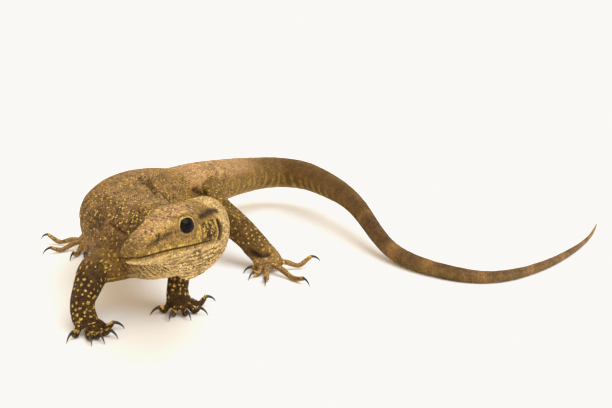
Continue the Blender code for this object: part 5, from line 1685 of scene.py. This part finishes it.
spans = [("neck", "body", 0.0, 60.0, "body_skin"), ("shoulder", "body", 60.0, 100.0, "body_skin"),
         ("flank", "body", 100.0, 142.0, "body_skin"), ("hip", "body", 142.0, 235.0, "body_skin"),
         ("tail_base", "tail", 235.0, 330.0, "tail_skin"), ("tail_middle", "tail", 330.0, 450.0, "tail_skin"),
         ("tail_end", "tail", 450.0, 700.0, "tail_skin")]
for name, form, low, high, slot in spans:
    isSpine = everywhere["kind"] == "spine"
    scales = picked(everywhere, isSpine & (everywhere["at"] >= low) & (everywhere["at"] < high))
    share = 0.96 * (scales["at"] - low) / (min(high, spineLength) - low)
    scalePiece(name + "_scales", form, scales, np.stack([0.02 + share, 0.02 + 0.96 * scales["turn"]], -1))
for name, limb in limbSize.items():
    scales = picked(everywhere, everywhere["kind"] == name)
    at, turn, isToe = scales["at"], scales["turn"], scales["region"] >= 20
    toeNumber = np.where(isToe, (scales["region"] - 20) % 5, 0)
    onLimb = np.stack([0.02 + 0.56 * np.clip(at / limb["length"], 0, 1), 0.02 + 0.96 * turn], -1)
    onToe = np.stack([0.62 + 0.36 * np.clip(at / 18.0, 0, 1), 0.02 + 0.19 * toeNumber + 0.18 * turn], -1)
    scalePiece(name + "_scales", "body", scales, np.where(isToe[:, None], onToe, onLimb))


def rampLook(name, colour, roughness, coatWeight, layer, stops, streakScale, streakDetail, streakShare):
    # colours in steps along an attribute of the mesh, their edges broken by fine streaks
    look = bpy.data.materials.new(name)
    look.use_nodes = True
    tree = look.node_tree
    inputs = tree.nodes["Principled BSDF"].inputs
    inputs["Base Color"].default_value = colour
    inputs["Roughness"].default_value = roughness
    inputs["Coat Weight"].default_value = coatWeight
    inputs["Coat Roughness"].default_value = 0.02
    read = tree.nodes.new("ShaderNodeAttribute")
    read.attribute_name = layer
    ramp = tree.nodes.new("ShaderNodeValToRGB")
    steps = ramp.color_ramp.elements
    for step, (position, shade) in zip(steps, (stops[0], stops[-1])):
        step.position, step.color = position, shade
    for position, shade in stops[1:-1]:
        steps.new(position).color = shade
    streaks = noiseOf(tree, streakScale, streakDetail)
    wire(tree, ramp.inputs["Fac"], calc(tree, "MULTIPLY_ADD", streaks, streakShare, read.outputs["Fac"]))
    wire(tree, inputs["Base Color"], ramp.outputs["Color"])
    return look, tree, inputs, streaks


def putLayer(mesh, name, values):
    mesh.attributes.new(name, "FLOAT", "POINT").data.foreach_set("value", values.astype(np.float32))


# pupil, thin golden ring and near-black iris by distance from the eye's axis
pupil = (0.0018, 0.0018, 0.0020, 1)
eyeLook, _, eyeInputs, _ = rampLook("wetEye", tint(14, 12, 12), 0.05, 0.18, "fromPupil", [
    (0.0, pupil), (0.36, pupil), (0.39, tint(34, 24, 14)), (0.43, tint(18, 13, 11)), (0.75, tint(16, 12, 11)),
    (1.0, tint(30, 22, 16))], 2600.0, 3.0, 0.06)
eyeInputs["Specular IOR Level"].default_value = 0.0


def eyeball(name, side, look):
    # a sphere whose front bulges a little into the cornea
    count, sides = 47, 64
    centre, facing, fore, _ = eyeAxes(side)
    rise = np.cross(facing, fore)
    polar = np.linspace(0.0, math.pi, count + 2)[1:-1]
    turn = fullTurn * np.arange(sides) / sides
    radius = eyeSize["radius"] + eyeSize["bulge"] * bell(polar, 0.0, 0.50)
    rings = (facing * (np.cos(polar) * radius)[:, None, None]
             + fore * (np.sin(polar) * radius)[:, None, None] * np.cos(turn)[None, :, None]
             + rise * (np.sin(polar) * radius)[:, None, None] * np.sin(turn)[None, :, None])
    points, faces = shellOf(rings)
    points[-2], points[-1] = facing * (eyeSize["radius"] + eyeSize["bulge"]), -facing * eyeSize["radius"]
    thing = newObject(name, fromHead(points + centre), faces, look)
    away = np.concatenate([np.repeat(polar, sides), [0.0, math.pi]])
    putLayer(thing.data, "fromPupil", np.clip(away / 1.25, 0, 1))
    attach(thing, "root")
    return thing


for name, side in (("eye_left", 1.0), ("eye_right", -1.0)):
    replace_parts(eyeball(name + "ball", side, eyeLook), name)


def lidRim(name, side):
    # a thin cord of skin round the opening: a ring in the lid's plane carried out to the eyeball's surface
    count, sides = 120, 12
    centre, facing, fore, rise = eyeAxes(side)
    turn, angle = fullTurn * np.arange(count) / count, fullTurn * np.arange(sides) / sides
    over = eyeSize["halfLength"] * 1.02 * np.cos(turn)
    up = eyeSize["halfHeight"] * 1.02 * np.sign(np.sin(turn)) * np.abs(np.sin(turn)) ** 1.08
    depth = np.sqrt((eyeSize["radius"] + 0.20) ** 2 - over ** 2 - up ** 2)
    line = fore * over[:, None] + rise * up[:, None] + facing * depth[:, None]
    out = unit(line)
    across = np.cross(unit(np.roll(line, -1, 0) - np.roll(line, 1, 0)), out)
    beads = np.cos(turn * eyeSize["rimBeads"])
    thick = (eyeSize["rimRadius"] * (1.0 + 0.10 * beads))[:, None, None]
    outline = across[:, None] * np.cos(angle)[None, :, None] + out[:, None] * np.sin(angle)[None, :, None]
    points = fromHead((line[:, None] + thick * outline).reshape(-1, 3) + centre)
    faces = gridFaces(count + 1, sides) % (count * sides)
    thing = newObject(name, points, faces, scaleLook)
    facedOutward(thing)
    upper = np.repeat(rising(np.sin(turn), -0.15, 0.5), sides)
    none = np.zeros_like(upper)
    marks = np.stack([0.05 + 0.85 * upper, 0.62 * (1 - upper), none, none + 0.5, none + 0.4, none], -1)
    putMarks(thing.data, marks, np.repeat(beads * 0.4, sides), none)
    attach(thing, "root")


for name, side in (("lid_rim_left", 1.0), ("lid_rim_right", -1.0)):
    lidRim(name, side)

# pale brown at the root, near black along the claw, a little worn at the tip
clawLook, tree, clawInputs, streaks = rampLook("clawHorn", tint(40, 28, 19), 0.34, 0.12, "alongClaw", [
    (0.0, tint(92, 70, 40)), (0.14, tint(60, 42, 26)), (0.35, tint(36, 25, 18)), (0.8, tint(46, 34, 25)),
    (1.0, tint(96, 78, 62))], 1400.0, 2.0, 0.16)
wire(tree, clawInputs["Roughness"], calc(tree, "MULTIPLY_ADD", streaks, 0.25, 0.18))
for name, limb in limbSize.items():
    ending = {"front": "hand", "hind": "foot"}[name.split("_")[0]]
    word = ending + "_" + name.split("_")[1]
    grids = [clawGrid(limb, rows, away) for rows, away in limb["toes"]]
    points, faces = joinShells([shellOf(grid) for grid in grids])
    thing = newObject(word + "_claws", points, faces, clawLook)
    facedOutward(thing)
    share = [np.repeat(np.linspace(0, 1, footSize["clawRings"]), footSize["clawSides"]), [0.0, 1.0]]
    putLayer(thing.data, "alongClaw", np.tile(np.concatenate(share), len(grids)))
    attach(thing, "root")
    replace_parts(thing, *[f"{word}_claw_{n}" for n in range(1, 6)])
stage("eyes, lids and claws")

roomSize = dict(
    floor=200.0, floorColour=(0.93, 0.92, 0.905, 1.0), world=(1.0, 0.86, 0.67, 1.0), worldStrength=1.06,
    sunFrom=(0.50, -0.35, 1.0), sunColour=(0.75, 0.86, 1.0), sunStrength=2.75, sunWidth=math.radians(56),
    white=(0.950, 0.940, 0.908),
)

floorMesh = bpy.data.meshes.new("studio_floor")
half = roomSize["floor"]
floorMesh.from_pydata([(-half, -half, 0), (half, -half, 0), (half, half, 0), (-half, half, 0)], [], [(0, 1, 2, 3)])
floor = placed("studio_floor", floorMesh)
floorLook = bpy.data.materials.new("paleFloor")
floorLook.use_nodes = True
floorInputs = floorLook.node_tree.nodes["Principled BSDF"].inputs
floorInputs["Base Color"].default_value = roomSize["floorColour"]
floorInputs["Roughness"].default_value = 0.8
floorInputs["Specular IOR Level"].default_value = 0.1
floorMesh.materials.append(floorLook)
floor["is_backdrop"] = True

world = bpy.data.worlds.new("studioAir")
world.use_nodes = True
backdrop = world.node_tree.nodes["Background"]
backdrop.inputs["Color"].default_value = roomSize["world"]
backdrop.inputs["Strength"].default_value = roomSize["worldStrength"]
bpy.context.scene.world = world

# one very wide sun, so that every shadow is soft, over a warm air that fills the shadows
sunData = bpy.data.lights.new("soft_sun", "SUN")
sunData.energy = roomSize["sunStrength"]
sunData.color = roomSize["sunColour"]
sunData.angle = roomSize["sunWidth"]
sun = placed("soft_sun", sunData)
sun.rotation_mode = "QUATERNION"
sun.rotation_quaternion = Vector(roomSize["sunFrom"]).to_track_quat("Z", "Y")

cameraSize = dict(place=(-0.015321, -0.4313125, 0.1401), down=math.radians(13.5), lens=50.0, sensor=36.0)
cameraData = bpy.data.cameras.new("photo_camera")
cameraData.lens = cameraSize["lens"]
cameraData.sensor_width = cameraSize["sensor"]
cameraData.clip_start = 0.01
camera = placed("photo_camera", cameraData)
camera.location = Vector(cameraSize["place"])
camera.rotation_euler = (math.pi / 2 - cameraSize["down"], 0.0, 0.0)
bpy.context.scene.camera = camera
view = bpy.context.scene.view_settings
view.view_transform = "Standard"
# as on a photo, all that is brighter than the film can take comes out as the same very pale grey
view.use_curve_mapping = True
view.curve_mapping.extend = "HORIZONTAL"
for channel, most in zip(view.curve_mapping.curves[:3], roomSize["white"]):
    channel.points[1].location = (1.0, most)
    channel.points.new(0.8, 0.8 * (0.5 + 0.5 * most))
view.curve_mapping.update()

low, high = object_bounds()
total = sum(len(p.data.loop_triangles) or len(p.data.polygons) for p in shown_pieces())
box = [[round(v * 1000, 1) for v in corner] for corner in (low, high)]
stage(f"visual box {box[0]} to {box[1]}, about {total} triangles")
